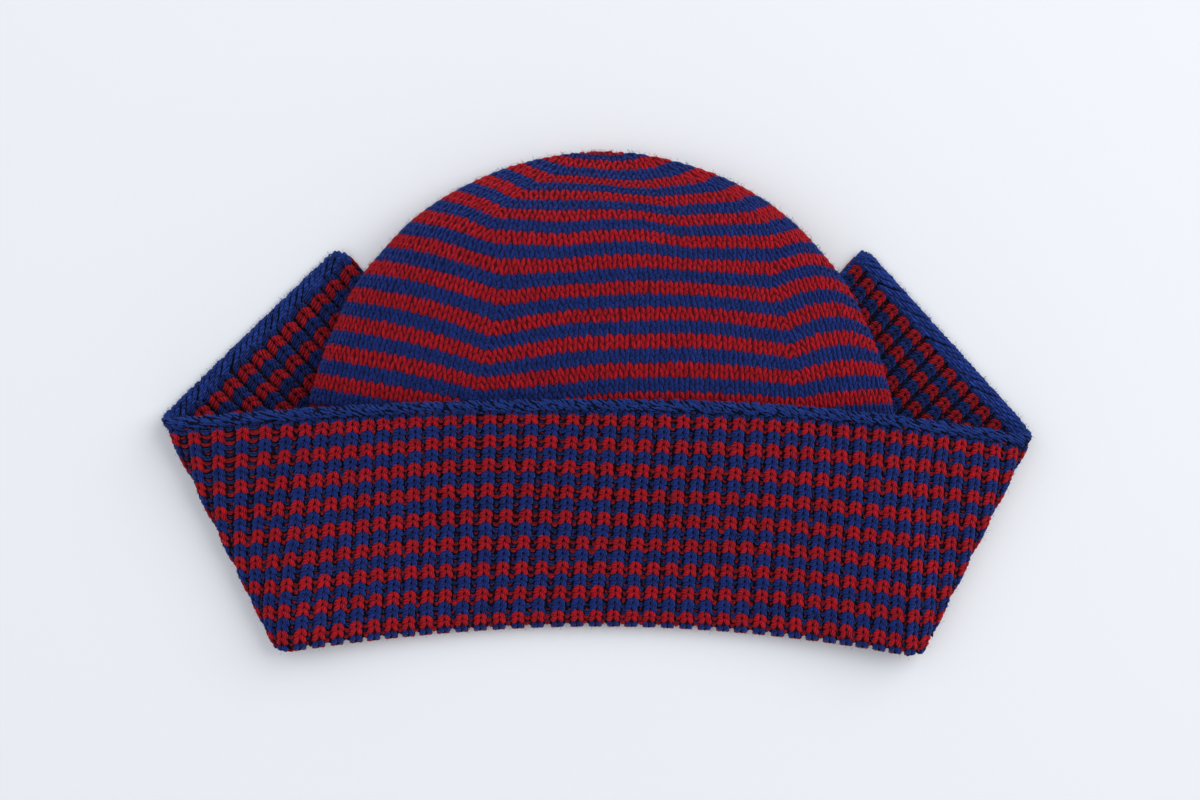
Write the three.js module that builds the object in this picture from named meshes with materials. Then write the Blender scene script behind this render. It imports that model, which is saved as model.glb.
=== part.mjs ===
// A knitted hat lying flat on a table, the tip of its crown towards +Y.
// A wide ribbed flap is turned up at the rim and lies over the visible side. Both ends of the flap
// are folded under the hat along slanting creases, so that they rest on the table below the crown.
// Sizes in millimetres.
import * as THREE from 'three';

// Crown, row by row from the rim to the tip.
// climb: distance along the outline. level: Y of the row's ends. left, right: half widths.
// roof: height of the upper layer in the middle. shoulder: height of the upper layer at the outline.
// floor: height of the lower layer in the middle. sag: how far the row's middle lies above its ends.
// lean: how far the right end lies above the middle of both ends.
const CROWN_COLUMNS = ['climb', 'level', 'left', 'right', 'roof', 'shoulder', 'floor', 'sag', 'lean'];
const CROWN_ROWS = [
  [-102, -101.8, 128.9, 128.2, 1.7, 9, 1.2, 10.3, -1],
  [-87, -87, 128.4, 127.9, 3.2, 11, 1.2, 8.2, -0.8],
  [-68, -68, 127.6, 127.4, 7.6, 13, 1.2, 5, -0.5],
  [-48, -48, 126, 126, 15.5, 15.5, 1.2, 2.2, -0.2],
  [-28, -28, 124, 124, 25.5, 18, 1.2, 0.6, 0],
  [-8, -8, 121.5, 121.5, 34, 20, 1.2, 0, 0],
  [12, 12, 116, 117, 39.5, 21, 1.2, 0, 0],
  [30, 29, 109.5, 110.7, 42.3, 21.5, 1.2, 0, 0],
  [48, 46, 101.3, 102.4, 43.5, 21.5, 1.2, 0, 0],
  [66, 61.5, 89.5, 90.6, 41.5, 20.5, 1.2, 0, 0],
  [82, 73.5, 78.2, 79.5, 36.5, 18.5, 1.2, 0, 0],
  [99, 83.3, 65, 66.8, 29, 16, 1.2, 0, 0],
  [116, 91.2, 50.2, 52.5, 21, 13.5, 1.3, 0, 0],
  [132, 97, 35.3, 37.5, 15.2, 11.5, 1.8, 0, 0],
  [151, 101.3, 16.4, 18.8, 11, 9.6, 3.6, 0, 0],
  [169, 103.2, 0, 0, 7.2, 7.2, 7.2, 0, 0],
].map((values) => Object.fromEntries(CROWN_COLUMNS.map((name, index) => [name, values[index]])));
const CROWN_WALL = 2.4;
const SHOULDER_ROUNDNESS = 2.6;

// The lower layer of the crown lies on the table in the middle and is lifted by the flap's ends,
// whose inner edges run at a slant from the arch to the outline.
const END_LIFT = 4.6;
const END_LINE = 42;
const END_RAMP = 15;

// The arched rim of the lower layer: its two slanting sides stop at the foot of the brow.
// Near the corners it keeps clear of the flap's rounded fold.
const CORNER_EASE = 5;
const CORNER_REACH = [-93, -78];
const BROW_FOOT = -5;
const BROW_TOP = 2;
const ARCH_LINE_RIBS = [30.4, 36.1];

// Where the crown is cut into facets.
const CROWN_MESH_CLIMB = [
  -102, -91, -77, -62, -46, -30, -16, -5, -1, 2, 13, 26, 39, 52, 66, 80, 94, 107, 120, 132, 143, 156, 169,
];
const UPPER_STEPS = 12;
const LOWER_STEPS = 10;
const STEP_CROWDING = 1.6;

// Flap, a straight strip of one-by-one ribbing counted in ribs from its middle.
const HALF_RIBS = 38;
const RIB_PITCH = 7.19;
const STEPS_PER_RIB = 2;
const FLAP_WALL = 2.2;
const RIB_DEPTH = 0.8;
const RIB_DEPTH_AT_TURN = 0.45;
const FLAP_LEVEL = 1.9;

// The rim line, bowed up in the middle, and the strip's lie beyond the crown's corners.
const RIM_MIDDLE = -91.5;
const RIM_HALF_WIDTH = 131;

// The free edge is stretched where it leaves the crown, so its ribs are spread unevenly.
const FREE_EDGE_SPREAD = [
  { rib: 0, reach: 0 },
  { rib: 9, reach: 60 },
  { rib: 18.3, reach: 122 },
  { rib: 25, reach: 182 },
  { rib: 31, reach: 232 },
  { rib: 38, reach: 290 },
];
const FREE_EDGE_MIDDLE = -4.8;
const FREE_EDGE_BOW = 2.2;

// Slanting creases at which the strip folds under, seen from above before rounding.
const CREASES = {
  left: { sign: -1, foot: [-138.6, -107], peak: [-185.2, -11], rimDrop: 10.5, freeDrop: 9.4, slope: 0.14 },
  right: { sign: 1, foot: [137.8, -109], peak: [182.8, -18], rimDrop: 12.5, freeDrop: 16.6, slope: 0.085 },
};
const CREASE_RADIUS_AT_RIM = 5.4;
const CREASE_RADIUS_AT_EDGE = 4.6;
const CREASE_REACH = [30, 90];
const CREASE_CROWDING = 0.6;
const CROSSING_REACH = [0.5, 0.9];

// The turned-up panel rests on the crown and bridges from its shoulders to the creases.
const LAYER_DISTANCE = 3.9;
const CREASE_HEIGHT_AT_RIM = 12.7;
const CREASE_HEIGHT_AT_EDGE = 11.1;
const BRIDGE_SLACK = 1.2;
const BRIDGE_BLEND = 1.6;
const SHOULDER_CLEARANCE = 0.8;
const EDGE_FALL = 0.35;
const LEVEL_PASSES = 4;

const TURN_STEPS = 3;
const PANEL_STEPS = 8;

// Bound edge of the flap.
const EDGE_HALF_WIDTH = 2.6;
const EDGE_HALF_THICKNESS = 1.9;
const EDGE_SIDES = 6;
const EDGE_STEPS = 90;

const RIM_GAP = 0.8;
const SEAM_GAP = 0.4;
const PROBE = 0.01;

const RED_WOOL = '#7d1620';
const BLUE_WOOL = '#1a2556';
const WOOL_ROUGHNESS = 0.95;

/** Cubic through the rows of a table, with slopes taken from each row's neighbours. */
function curve(table, key, value, at) {
  const last = table.length - 1;
  let row = 0;
  while (row < last - 1 && at > table[row + 1][key]) {
    row += 1;
  }
  const slope = (index) => {
    const before = table[Math.max(index - 1, 0)];
    const after = table[Math.min(index + 1, last)];
    return (after[value] - before[value]) / (after[key] - before[key]);
  };
  const start = table[row];
  const end = table[row + 1];
  const span = end[key] - start[key];
  const part = THREE.MathUtils.clamp((at - start[key]) / span, 0, 1);
  const squared = part * part;
  const cubed = squared * part;
  return (
    start[value] * (2 * cubed - 3 * squared + 1) +
    end[value] * (3 * squared - 2 * cubed) +
    slope(row) * span * (cubed - 2 * squared + part) +
    slope(row + 1) * span * (cubed - squared)
  );
}

/** A closed body built from quads; corners that fall on one spot are shared. */
class Body {
  constructor() {
    this.corners = [];
    this.faces = [];
    this.known = new Map();
  }

  corner(point) {
    const key = [point.x, point.y, point.z].map((value) => value.toFixed(4)).join(' ');
    if (!this.known.has(key)) {
      this.known.set(key, this.corners.length / 3);
      this.corners.push(point.x, point.y, point.z);
    }
    return this.known.get(key);
  }

  triangle(first, second, third) {
    const ids = [first, second, third].map((point) => this.corner(point));
    if (new Set(ids).size === 3) {
      this.faces.push(...ids);
    }
  }

  quad(first, second, third, fourth) {
    this.triangle(first, second, third);
    this.triangle(first, third, fourth);
  }

  mesh(name, colour) {
    const geometry = new THREE.BufferGeometry();
    geometry.setAttribute('position', new THREE.Float32BufferAttribute(this.corners, 3));
    geometry.setIndex(this.faces);
    geometry.computeVertexNormals();
    const material = new THREE.MeshStandardMaterial({ color: colour, roughness: WOOL_ROUGHNESS });
    const mesh = new THREE.Mesh(geometry, material);
    mesh.name = name;
    return mesh;
  }
}

/** Two skins over one grid, joined along the rows and columns that are open. */
function wall(outer, inner, { openColumn, openEnd }) {
  const body = new Body();
  const lastColumn = outer.length - 1;
  const lastRow = outer[0].length - 1;
  for (let column = 0; column < lastColumn; column += 1) {
    for (let row = 0; row < lastRow; row += 1) {
      const next = column + 1;
      const above = row + 1;
      body.quad(outer[column][row], outer[next][row], outer[next][above], outer[column][above]);
      body.quad(inner[column][row], inner[column][above], inner[next][above], inner[next][row]);
    }
    body.quad(inner[column][0], inner[column + 1][0], outer[column + 1][0], outer[column][0]);
    if (openEnd) {
      const [near, far] = [column, column + 1];
      body.quad(outer[near][lastRow], outer[far][lastRow], inner[far][lastRow], inner[near][lastRow]);
    }
  }
  for (let row = 0; row < lastRow; row += 1) {
    if (openColumn(row)) {
      const [first, last] = [outer[0], outer[lastColumn]];
      const [firstInner, lastInner] = [inner[0], inner[lastColumn]];
      body.quad(firstInner[row], first[row], first[row + 1], firstInner[row + 1]);
      body.quad(last[row], lastInner[row], lastInner[row + 1], last[row + 1]);
    }
  }
  return body;
}

/** Unit normal of a surface of two parameters, pointing along the first step times the second. */
function normalOf(surface, first, second, limits) {
  const [low, high] = limits;
  const before = THREE.MathUtils.clamp(first - PROBE, low[0], high[0]);
  const after = THREE.MathUtils.clamp(first + PROBE, low[0], high[0]);
  const below = THREE.MathUtils.clamp(second - PROBE, low[1], high[1]);
  const above = THREE.MathUtils.clamp(second + PROBE, low[1], high[1]);
  const along = surface(after, second).sub(surface(before, second));
  const across = surface(first, above).sub(surface(first, below));
  return along.cross(across).normalize();
}

/** Plan of the strip laid out flat: across counts ribs, up runs from the rim to the free edge. */
function stripPlan(rib, up) {
  const side = rib < 0 ? CREASES.left : CREASES.right;
  const base = Math.abs(rib) * RIB_PITCH;
  const inner = Math.min(base, RIM_HALF_WIDTH) / RIM_HALF_WIDTH;
  const beyond = Math.max(base - RIM_HALF_WIDTH, 0);
  const baseY = RIM_MIDDLE - side.rimDrop * inner ** 2 - side.slope * beyond;
  const free = curve(FREE_EDGE_SPREAD, 'rib', 'reach', Math.abs(rib));
  const peakReach = Math.abs(side.peak[0]);
  const drop = side.freeDrop * (Math.min(free, peakReach) / peakReach) ** FREE_EDGE_BOW;
  const freeY = FREE_EDGE_MIDDLE - drop - side.slope * Math.max(free - peakReach, 0);
  const x = side.sign * THREE.MathUtils.lerp(base, free, up);
  return new THREE.Vector2(x, THREE.MathUtils.lerp(baseY, freeY, up));
}

/** Point on a crease at a height along Y, and the crease's normal towards the middle of the hat. */
function creaseAt(side, y) {
  const [foot, peak] = [new THREE.Vector2(...side.foot), new THREE.Vector2(...side.peak)];
  const run = peak.clone().sub(foot);
  const x = foot.x + (run.x * (y - foot.y)) / run.y;
  const inward = new THREE.Vector2(run.y, -run.x).normalize().multiplyScalar(-side.sign);
  return { x, inward, distance: (point) => point.clone().sub(foot).dot(inward) };
}

/** Plan of the strip folded at its creases; turn is 1 on the upper side and 0 on the lower. */
function foldedPlan(rib, up) {
  const flat = stripPlan(rib, up);
  const side = rib < 0 ? CREASES.left : CREASES.right;
  const crease = creaseAt(side, flat.y);
  const distance = crease.distance(flat);
  const nearness = 1 - THREE.MathUtils.smoothstep(distance, ...CREASE_REACH);
  const radius = nearness * THREE.MathUtils.lerp(CREASE_RADIUS_AT_RIM, CREASE_RADIUS_AT_EDGE, up);
  const rounded = Math.hypot(distance, radius);
  const plan = flat.addScaledVector(crease.inward, rounded - distance);
  return { plan, turn: (1 + distance / rounded) / 2 };
}

/** Step up a rib moved towards the place where the rib crosses its crease, if it does. */
function crowdedStep(rib, step) {
  const side = rib < 0 ? CREASES.left : CREASES.right;
  const [atRim, atEdge] = [0, 1].map((up) => creaseAt(side, 0).distance(stripPlan(rib, up)));
  const crossing = atRim / (atRim - atEdge);
  const weight = 1 - THREE.MathUtils.smoothstep(Math.abs(crossing - 0.5), ...CROSSING_REACH);
  const target = THREE.MathUtils.clamp(crossing, 0, 1);
  return step - CREASE_CROWDING * weight * (step - target) * 4 * step * (1 - step);
}

/** Where the slanting side of the arched rim crosses a level, as a distance from the middle. */
function archReach(side, level) {
  const ribs = ARCH_LINE_RIBS.map((rib) => side.sign * rib);
  const [near, far] = ribs.map((rib) => foldedPlan(rib, 0).plan);
  const slope = (far.x - near.x) / (far.y - near.y);
  const ease = CORNER_EASE * (1 - THREE.MathUtils.smoothstep(level, ...CORNER_REACH));
  const slanting = (y) => side.sign * (near.x + slope * (y - near.y)) + ease;
  if (level <= BROW_FOOT) {
    return slanting(level);
  }
  const rise = Math.min((level - BROW_FOOT) / (BROW_TOP - BROW_FOOT), 1);
  return slanting(BROW_FOOT) * Math.sqrt(1 - rise ** 2);
}

/** Sizes of the crown's row at a distance along the outline. */
function crownRow(climb, side) {
  const column = (name) => curve(CROWN_ROWS, 'climb', name, climb);
  return {
    level: column('level'),
    width: Math.max(column(side.sign < 0 ? 'left' : 'right'), 0),
    roof: column('roof'),
    shoulder: column('shoulder'),
    floor: column('floor'),
    sag: column('sag'),
    lean: side.sign * column('lean'),
  };
}

/** Heights of the crown's two layers and the rounding between them, at a place in one row. */
function crownLayers(row, x, y) {
  const out = row.width > 0 ? Math.min(Math.abs(x) / row.width, 1) : 1;
  const upper = row.shoulder + (row.roof - row.shoulder) * (1 - out ** SHOULDER_ROUNDNESS);
  const beyond = Math.abs(x) - y - END_LINE;
  const lower = row.floor + END_LIFT * THREE.MathUtils.smoothstep(beyond, -END_RAMP, 0);
  return { upper, lower, out };
}

/** Rounding of the crown's turned edge in one row, and the way over it from the edge to the middle. */
function crownTurn(row) {
  const edge = crownLayers(row, row.width, row.level);
  const radius = Math.max((edge.upper - edge.lower) / 2, PROBE);
  return { radius, full: Math.sqrt((row.width + radius) ** 2 - radius ** 2) };
}

/** Middle of the crown's wall. Around runs from -1 below, over the top at 0, to 1 below again. */
function crownPoint(around, climb) {
  const side = around < 0 ? CREASES.left : CREASES.right;
  const row = crownRow(climb, side);
  const { radius, full } = crownTurn(row);
  const off = 1 - 2 * Math.abs(around);
  const distance = full * Math.sign(off) * Math.abs(off) ** STEP_CROWDING;
  const rounded = Math.hypot(distance, radius);
  const x = side.sign * (row.width - rounded + radius);
  const layers = crownLayers(row, x, row.level);
  const turn = (1 + distance / rounded) / 2;
  const y = row.level + row.lean * layers.out + row.sag * (1 - layers.out ** 2) * turn;
  return new THREE.Vector3(x, y, THREE.MathUtils.lerp(layers.lower, layers.upper, turn));
}

/** How far around the crown reaches in one row before it meets the arched rim. */
function archLimit(side, climb) {
  const row = crownRow(climb, side);
  if (row.level >= BROW_TOP) {
    return 1;
  }
  const { radius, full } = crownTurn(row);
  const inside = Math.max(row.width - archReach(side, row.level), 0);
  const stop = Math.sqrt((inside + radius) ** 2 - radius ** 2);
  return (1 + (stop / full) ** (1 / STEP_CROWDING)) / 2;
}

function crownBody() {
  const tip = CROWN_MESH_CLIMB.length - 1;
  const arounds = [];
  for (let step = -UPPER_STEPS - LOWER_STEPS; step <= UPPER_STEPS + LOWER_STEPS; step += 1) {
    const upper = Math.min(Math.abs(step), UPPER_STEPS) / UPPER_STEPS;
    const lower = Math.max(Math.abs(step) - UPPER_STEPS, 0) / LOWER_STEPS;
    arounds.push((Math.sign(step) * (upper + lower)) / 2);
  }
  const limits = [[-1, CROWN_MESH_CLIMB[0]], [1, CROWN_MESH_CLIMB[tip]]];
  const skin = (sign) =>
    arounds.map((around) =>
      CROWN_MESH_CLIMB.map((climb, index) => {
        const limit = archLimit(around < 0 ? CREASES.left : CREASES.right, climb);
        const place = THREE.MathUtils.clamp(around, -limit, limit);
        const point = crownPoint(place, climb);
        const normal =
          index === tip ? new THREE.Vector3(0, 1, 0) : normalOf(crownPoint, place, climb, limits);
        point.addScaledVector(normal, (sign * CROWN_WALL) / 2);
        point.z = Math.max(point.z, 0);
        return point;
      }),
    );
  const [outer, inner] = [skin(1), skin(-1)];
  const closed = (row) => CROWN_MESH_CLIMB[row] >= BROW_TOP;
  const last = arounds.length - 1;
  for (let row = 0; row <= tip; row += 1) {
    if (closed(row)) {
      outer[last][row].copy(outer[0][row]);
      inner[last][row].copy(inner[0][row]);
    }
  }
  return wall(outer, inner, { openColumn: (row) => !closed(row), openEnd: false });
}

/** Height of the crown's upper layer below a place on the flap, carried on past its outline. */
function crownTopAt(x, y) {
  const side = x < 0 ? CREASES.left : CREASES.right;
  let row = crownRow(y, side);
  for (let pass = 0; pass < LEVEL_PASSES; pass += 1) {
    const out = Math.min(Math.abs(x) / row.width, 1);
    row = crownRow(y - row.lean * out - row.sag * (1 - out ** 2), side);
  }
  const { upper, out } = crownLayers(row, x, row.level);
  const past = Math.max(Math.abs(x) - row.width, 0);
  return upper + SHOULDER_CLEARANCE * out ** 4 - EDGE_FALL * past;
}

/** Height of the turned-up panel: on the crown in the middle, free towards the creases. */
function panelHeight(x, y) {
  const side = x < 0 ? CREASES.left : CREASES.right;
  const resting = crownTopAt(x, y) + LAYER_DISTANCE;
  const crease = creaseAt(side, y);
  const rise = (y - side.foot[1]) / (side.peak[1] - side.foot[1]);
  const creaseHeight = THREE.MathUtils.lerp(CREASE_HEIGHT_AT_RIM, CREASE_HEIGHT_AT_EDGE, rise);
  const middle = crownTopAt(0, y) + LAYER_DISTANCE - BRIDGE_SLACK;
  const out = Math.min(Math.abs(x / crease.x), 1);
  const bridging = creaseHeight + (middle - creaseHeight) * (1 - out ** SHOULDER_ROUNDNESS);
  return (resting + bridging + Math.hypot(resting - bridging, BRIDGE_BLEND)) / 2;
}

function panelPoint(rib, up) {
  const { plan, turn } = foldedPlan(rib, up);
  const upper = panelHeight(plan.x, plan.y);
  return new THREE.Vector3(plan.x, plan.y, THREE.MathUtils.lerp(FLAP_LEVEL, upper, turn));
}

const PANEL_LIMITS = [[-HALF_RIBS, 0], [HALF_RIBS, 1]];

/** Middle of the flap's wall. Up is below 0 in the turn at the rim and 0 to 1 across the panel. */
function flapPoint(rib, up) {
  if (up >= 0) {
    return panelPoint(rib, up);
  }
  const panelStart = panelPoint(rib, 0);
  const normal = normalOf(panelPoint, rib, 0, PANEL_LIMITS);
  const outward = panelPoint(rib, 0).sub(panelPoint(rib, PROBE)).normalize();
  const seam = panelStart.clone().addScaledVector(normal, -LAYER_DISTANCE);
  seam.addScaledVector(outward, RIM_GAP);
  const angle = (1 + up) * Math.PI;
  const point = panelStart.clone().add(seam).multiplyScalar(1 / 2);
  point.addScaledVector(seam.sub(panelStart), Math.cos(angle) / 2);
  return point.addScaledVector(outward, (LAYER_DISTANCE / 2) * Math.sin(angle));
}

function flapBody() {
  const ribs = [];
  for (let step = 0; step <= 2 * HALF_RIBS * STEPS_PER_RIB; step += 1) {
    ribs.push(step / STEPS_PER_RIB - HALF_RIBS);
  }
  const ups = [];
  for (let step = 0; step < TURN_STEPS; step += 1) {
    ups.push(step / TURN_STEPS - 1);
  }
  for (let step = 0; step <= PANEL_STEPS; step += 1) {
    ups.push(step / PANEL_STEPS);
  }
  const limits = [[-HALF_RIBS, -1], [HALF_RIBS, 1]];
  const skin = (sign) =>
    ribs.map((rib) =>
      ups.map((step) => {
        const up = step > 0 ? crowdedStep(rib, step) : step;
        const depth = up > 0 ? RIB_DEPTH : RIB_DEPTH_AT_TURN;
        const wave = depth * Math.cos(2 * Math.PI * rib);
        const normal = normalOf(flapPoint, rib, up, limits);
        return flapPoint(rib, up).addScaledVector(normal, wave + (sign * FLAP_WALL) / 2);
      }),
    );
  return wall(skin(1), skin(-1), { openColumn: () => true, openEnd: true });
}

/** The rolled edge as rings along the free edge, closed at both ends. */
function edgeBody() {
  const body = new Body();
  const rings = [];
  const centres = [];
  for (let step = 0; step <= EDGE_STEPS; step += 1) {
    const rib = THREE.MathUtils.lerp(-HALF_RIBS, HALF_RIBS, step / EDGE_STEPS);
    const normal = normalOf(panelPoint, rib, 1, PANEL_LIMITS);
    const onward = panelPoint(rib, 1).sub(panelPoint(rib, 1 - PROBE)).normalize();
    const centre = panelPoint(rib, 1).addScaledVector(onward, SEAM_GAP + EDGE_HALF_WIDTH);
    const ring = [];
    for (let corner = 0; corner < EDGE_SIDES; corner += 1) {
      const angle = (2 * Math.PI * corner) / EDGE_SIDES;
      const point = centre.clone().addScaledVector(onward, EDGE_HALF_WIDTH * Math.cos(angle));
      point.addScaledVector(normal, EDGE_HALF_THICKNESS * Math.sin(angle));
      ring.push(point);
    }
    centres.push(centre);
    rings.push(ring);
  }
  for (let corner = 0; corner < EDGE_SIDES; corner += 1) {
    const next = (corner + 1) % EDGE_SIDES;
    for (let step = 0; step < EDGE_STEPS; step += 1) {
      body.quad(rings[step][corner], rings[step][next], rings[step + 1][next], rings[step + 1][corner]);
    }
    body.triangle(centres[0], rings[0][next], rings[0][corner]);
    body.triangle(centres[EDGE_STEPS], rings[EDGE_STEPS][corner], rings[EDGE_STEPS][next]);
  }
  return body;
}

const hat = new THREE.Group();
hat.name = 'flap_hat';
hat.add(crownBody().mesh('crown', RED_WOOL));
hat.add(flapBody().mesh('flap', BLUE_WOOL));
hat.add(edgeBody().mesh('flap_edge', BLUE_WOOL));

// The origin sits under the middle of the whole hat, on the table.
const extent = new THREE.Box3().setFromObject(hat);
const middle = extent.getCenter(new THREE.Vector3());
hat.position.set(-middle.x, -middle.y, -extent.min.z);

export default hat;
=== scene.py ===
"""A knitted flap hat lying flat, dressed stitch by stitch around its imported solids.

Lengths inside the forms are millimetres in the plan of the hat, and every mesh is made in metres in the
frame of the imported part. A stitch is two legs of yarn, each a small closed grain, laid out as whole arrays.
"""

import logging
import math
from collections.abc import Callable
from dataclasses import astuple, dataclass, fields
from enum import Enum
from typing import Any

import bmesh
import bpy
import numpy as np
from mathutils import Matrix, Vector


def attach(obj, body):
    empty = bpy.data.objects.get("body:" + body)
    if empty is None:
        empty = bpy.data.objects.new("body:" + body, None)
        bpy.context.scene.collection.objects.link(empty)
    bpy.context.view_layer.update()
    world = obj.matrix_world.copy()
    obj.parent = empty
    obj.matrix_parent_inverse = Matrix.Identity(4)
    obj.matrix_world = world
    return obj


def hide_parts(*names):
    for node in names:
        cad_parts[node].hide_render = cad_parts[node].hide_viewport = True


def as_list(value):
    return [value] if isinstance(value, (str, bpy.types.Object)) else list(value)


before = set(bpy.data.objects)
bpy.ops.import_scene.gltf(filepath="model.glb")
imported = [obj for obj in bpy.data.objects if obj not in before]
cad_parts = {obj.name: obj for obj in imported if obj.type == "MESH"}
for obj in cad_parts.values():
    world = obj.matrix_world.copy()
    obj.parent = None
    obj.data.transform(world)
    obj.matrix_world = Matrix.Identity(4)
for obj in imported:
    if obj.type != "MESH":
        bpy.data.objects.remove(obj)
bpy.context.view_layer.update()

log = logging.getLogger("flap_hat")

Array = np.ndarray
Material = bpy.types.Material
MM = 0.001
TURN = 2 * math.pi
# The plan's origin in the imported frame, whose own origin lies under the middle of the solids' box.
PLAN_ORIGIN = np.array([1.3745, 0.7420, -0.0168])
# A small step for slopes, in the units of whichever surface is read.
PROBE = 0.01
# Keeps lengths off zero before they divide.
TINY = 1e-12
# Gives a step that has no length a direction.
NUDGE = 1e-9
TABLE_CLEARANCE = 0.04
BODY = "root"
# Any number in an even stripe reads as red, and in an odd one as blue.
RED_STRIPE, BLUE_STRIPE = 0.5, 1.5
# A rib is one knit and one purl stitch wide.
RIB_STITCHES = 2
MATHS = "ShaderNodeMath"
# Sockets of a Mix node for its two colours and their mix, whose names other kinds of value share.
MIX_FROM, MIX_TO, MIXED = 6, 7, 2


class Wool(Enum):
    """The two colours of wool; the value is the material slot on every piece."""

    RED = 0
    BLUE = 1


class Face(Enum):
    """The two faces of the flap: outer shows on the turned-up panel, inner on the folded ends."""

    OUTER = 1
    INNER = -1


class Panel(Enum):
    """The four panels of the crown between the kinks, in order around it."""

    FRONT = "front"
    RIGHT = "right"
    BACK = "back"
    LEFT = "left"


def linear(hex_colour: str) -> tuple[float, float, float, float]:
    """Turn an sRGB hex colour into linear red, green, blue and full opacity.

    A dark channel is divided by 12.92; a lighter one is offset, scaled and raised to the power 2.4.

    Args:
        hex_colour: Six hex digits after a hash.

    Returns:
        The linear colour with alpha 1.
    """
    parts = [int(hex_colour[start:start + 2], 16) / 255 for start in (1, 3, 5)]
    red, green, blue = [c / 12.92 if c <= 0.04045 else ((c + 0.055) / 1.055) ** 2.4 for c in parts]
    return red, green, blue, 1.0


def add_node(
        tree: bpy.types.NodeTree, kind: str, links: dict[Any, Any] | None = None, **settings: Any) -> Any:
    """Add a node with its settings, socket values and links.

    Args:
        tree: The node tree that takes the node.
        kind: The node's type name.
        links: Input socket name or number to a value, or to an output socket to link from.
        settings: Attributes set on the node.

    Returns:
        The new node.
    """
    node = tree.nodes.new(kind)
    for name, value in settings.items():
        setattr(node, name, value)
    for socket, value in (links or {}).items():
        if isinstance(value, bpy.types.NodeSocket):
            tree.links.new(value, node.inputs[socket])
        else:
            node.inputs[socket].default_value = value
    return node


def bare_material(name: str) -> Material:
    """Start a material with an empty node tree.

    Args:
        name: The real material's name.

    Returns:
        The material.
    """
    material = bpy.data.materials.new(name)
    material.use_nodes = True
    material.node_tree.nodes.clear()
    return material


def smoothstep(value: Array, low: float, high: float) -> Array:
    """Ease from 0 at low to 1 at high: three times the square less twice the cube of the part."""
    part = np.clip((value - low) / (high - low), 0.0, 1.0)
    return part * part * (3.0 - 2.0 * part)


def lerp(start: Array, end: Array, part: Array) -> Array:
    """Mix two values: the start plus the part of the way to the end."""
    return start + (end - start) * part


def unit(vectors: Array) -> Array:
    """Scale vectors to length one."""
    return vectors / np.maximum(np.linalg.norm(vectors, axis=-1, keepdims=True), TINY)


def dot(first: Array, second: Array) -> Array:
    """Dot product of vectors in the last axis."""
    return (first * second).sum(-1)


def side_of(place: Array) -> Array:
    """Which side a place lies on: -1 left of the middle, 1 right of it."""
    return np.where(place < 0, -1.0, 1.0)


def read_along(run: Array, values: Array, places: Array) -> Array:
    """Read vectors that are given along a run at other places on it, mixed straight between neighbours."""
    return np.stack([np.interp(places, run, part) for part in values.T], -1)


def map_grid(counts: tuple[int, int], low: tuple[float, float], high: tuple[float, float]) -> Array:
    """Evenly spaced places over a rectangle of a UV map, columns by rows by two."""
    across, up = (np.linspace(*span) for span in zip(low, high, counts))
    return np.stack(np.meshgrid(across, up, indexing="ij"), -1)


def grid_quads(number: Array) -> Array:
    """Corner numbers of the quads of a numbered grid, columns by rows, one quad to a line."""
    corners = [number[:-1, :-1], number[1:, :-1], number[1:, 1:], number[:-1, 1:]]
    return np.stack(corners, -1).reshape(-1, 4)


@dataclass(frozen=True)
class Curve:
    """A cubic through the rows of a table, its slope at a row taken from the neighbouring rows.

    With carried ends, the first and last stretches are parabolas that carry their bend on to the end.
    """

    keys: tuple[float, ...]
    values: tuple[float, ...]
    carried: bool = False

    def at(self, place: Array) -> Array:
        """Read the curve.

        Args:
            place: Where to read it; it keeps its end values outside the table.

        Returns:
            The value at each place.
        """
        keys, values = np.array(self.keys, float), np.array(self.values, float)
        index = np.arange(len(keys))
        before, after = np.maximum(index - 1, 0), np.minimum(index + 1, len(keys) - 1)
        slopes = (values[after] - values[before]) / (keys[after] - keys[before])
        if self.carried:
            steps = np.diff(values) / np.diff(keys)
            slopes[0], slopes[-1] = 2 * steps[0] - slopes[1], 2 * steps[-1] - slopes[-2]
        row = np.clip(np.searchsorted(keys, place, side="left") - 1, 0, len(keys) - 2)
        span = keys[row + 1] - keys[row]
        part = np.clip((place - keys[row]) / span, 0.0, 1.0)
        squared, cubed = part**2, part**3
        ends = values[row] * (2 * cubed - 3 * squared + 1) + values[row + 1] * (3 * squared - 2 * cubed)
        rises = slopes[row] * (cubed - 2 * squared + part) + slopes[row + 1] * (cubed - squared)
        return ends + rises * span


CROWN_CLIMB = (-102, -87, -68, -48, -28, -8, 12, 30, 48, 66, 82, 99, 116, 132, 151, 169)


def along_crown(*values: float) -> Curve:
    """A size of the crown given at each distance in CROWN_CLIMB along its outline."""
    return Curve(CROWN_CLIMB, values)


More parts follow.
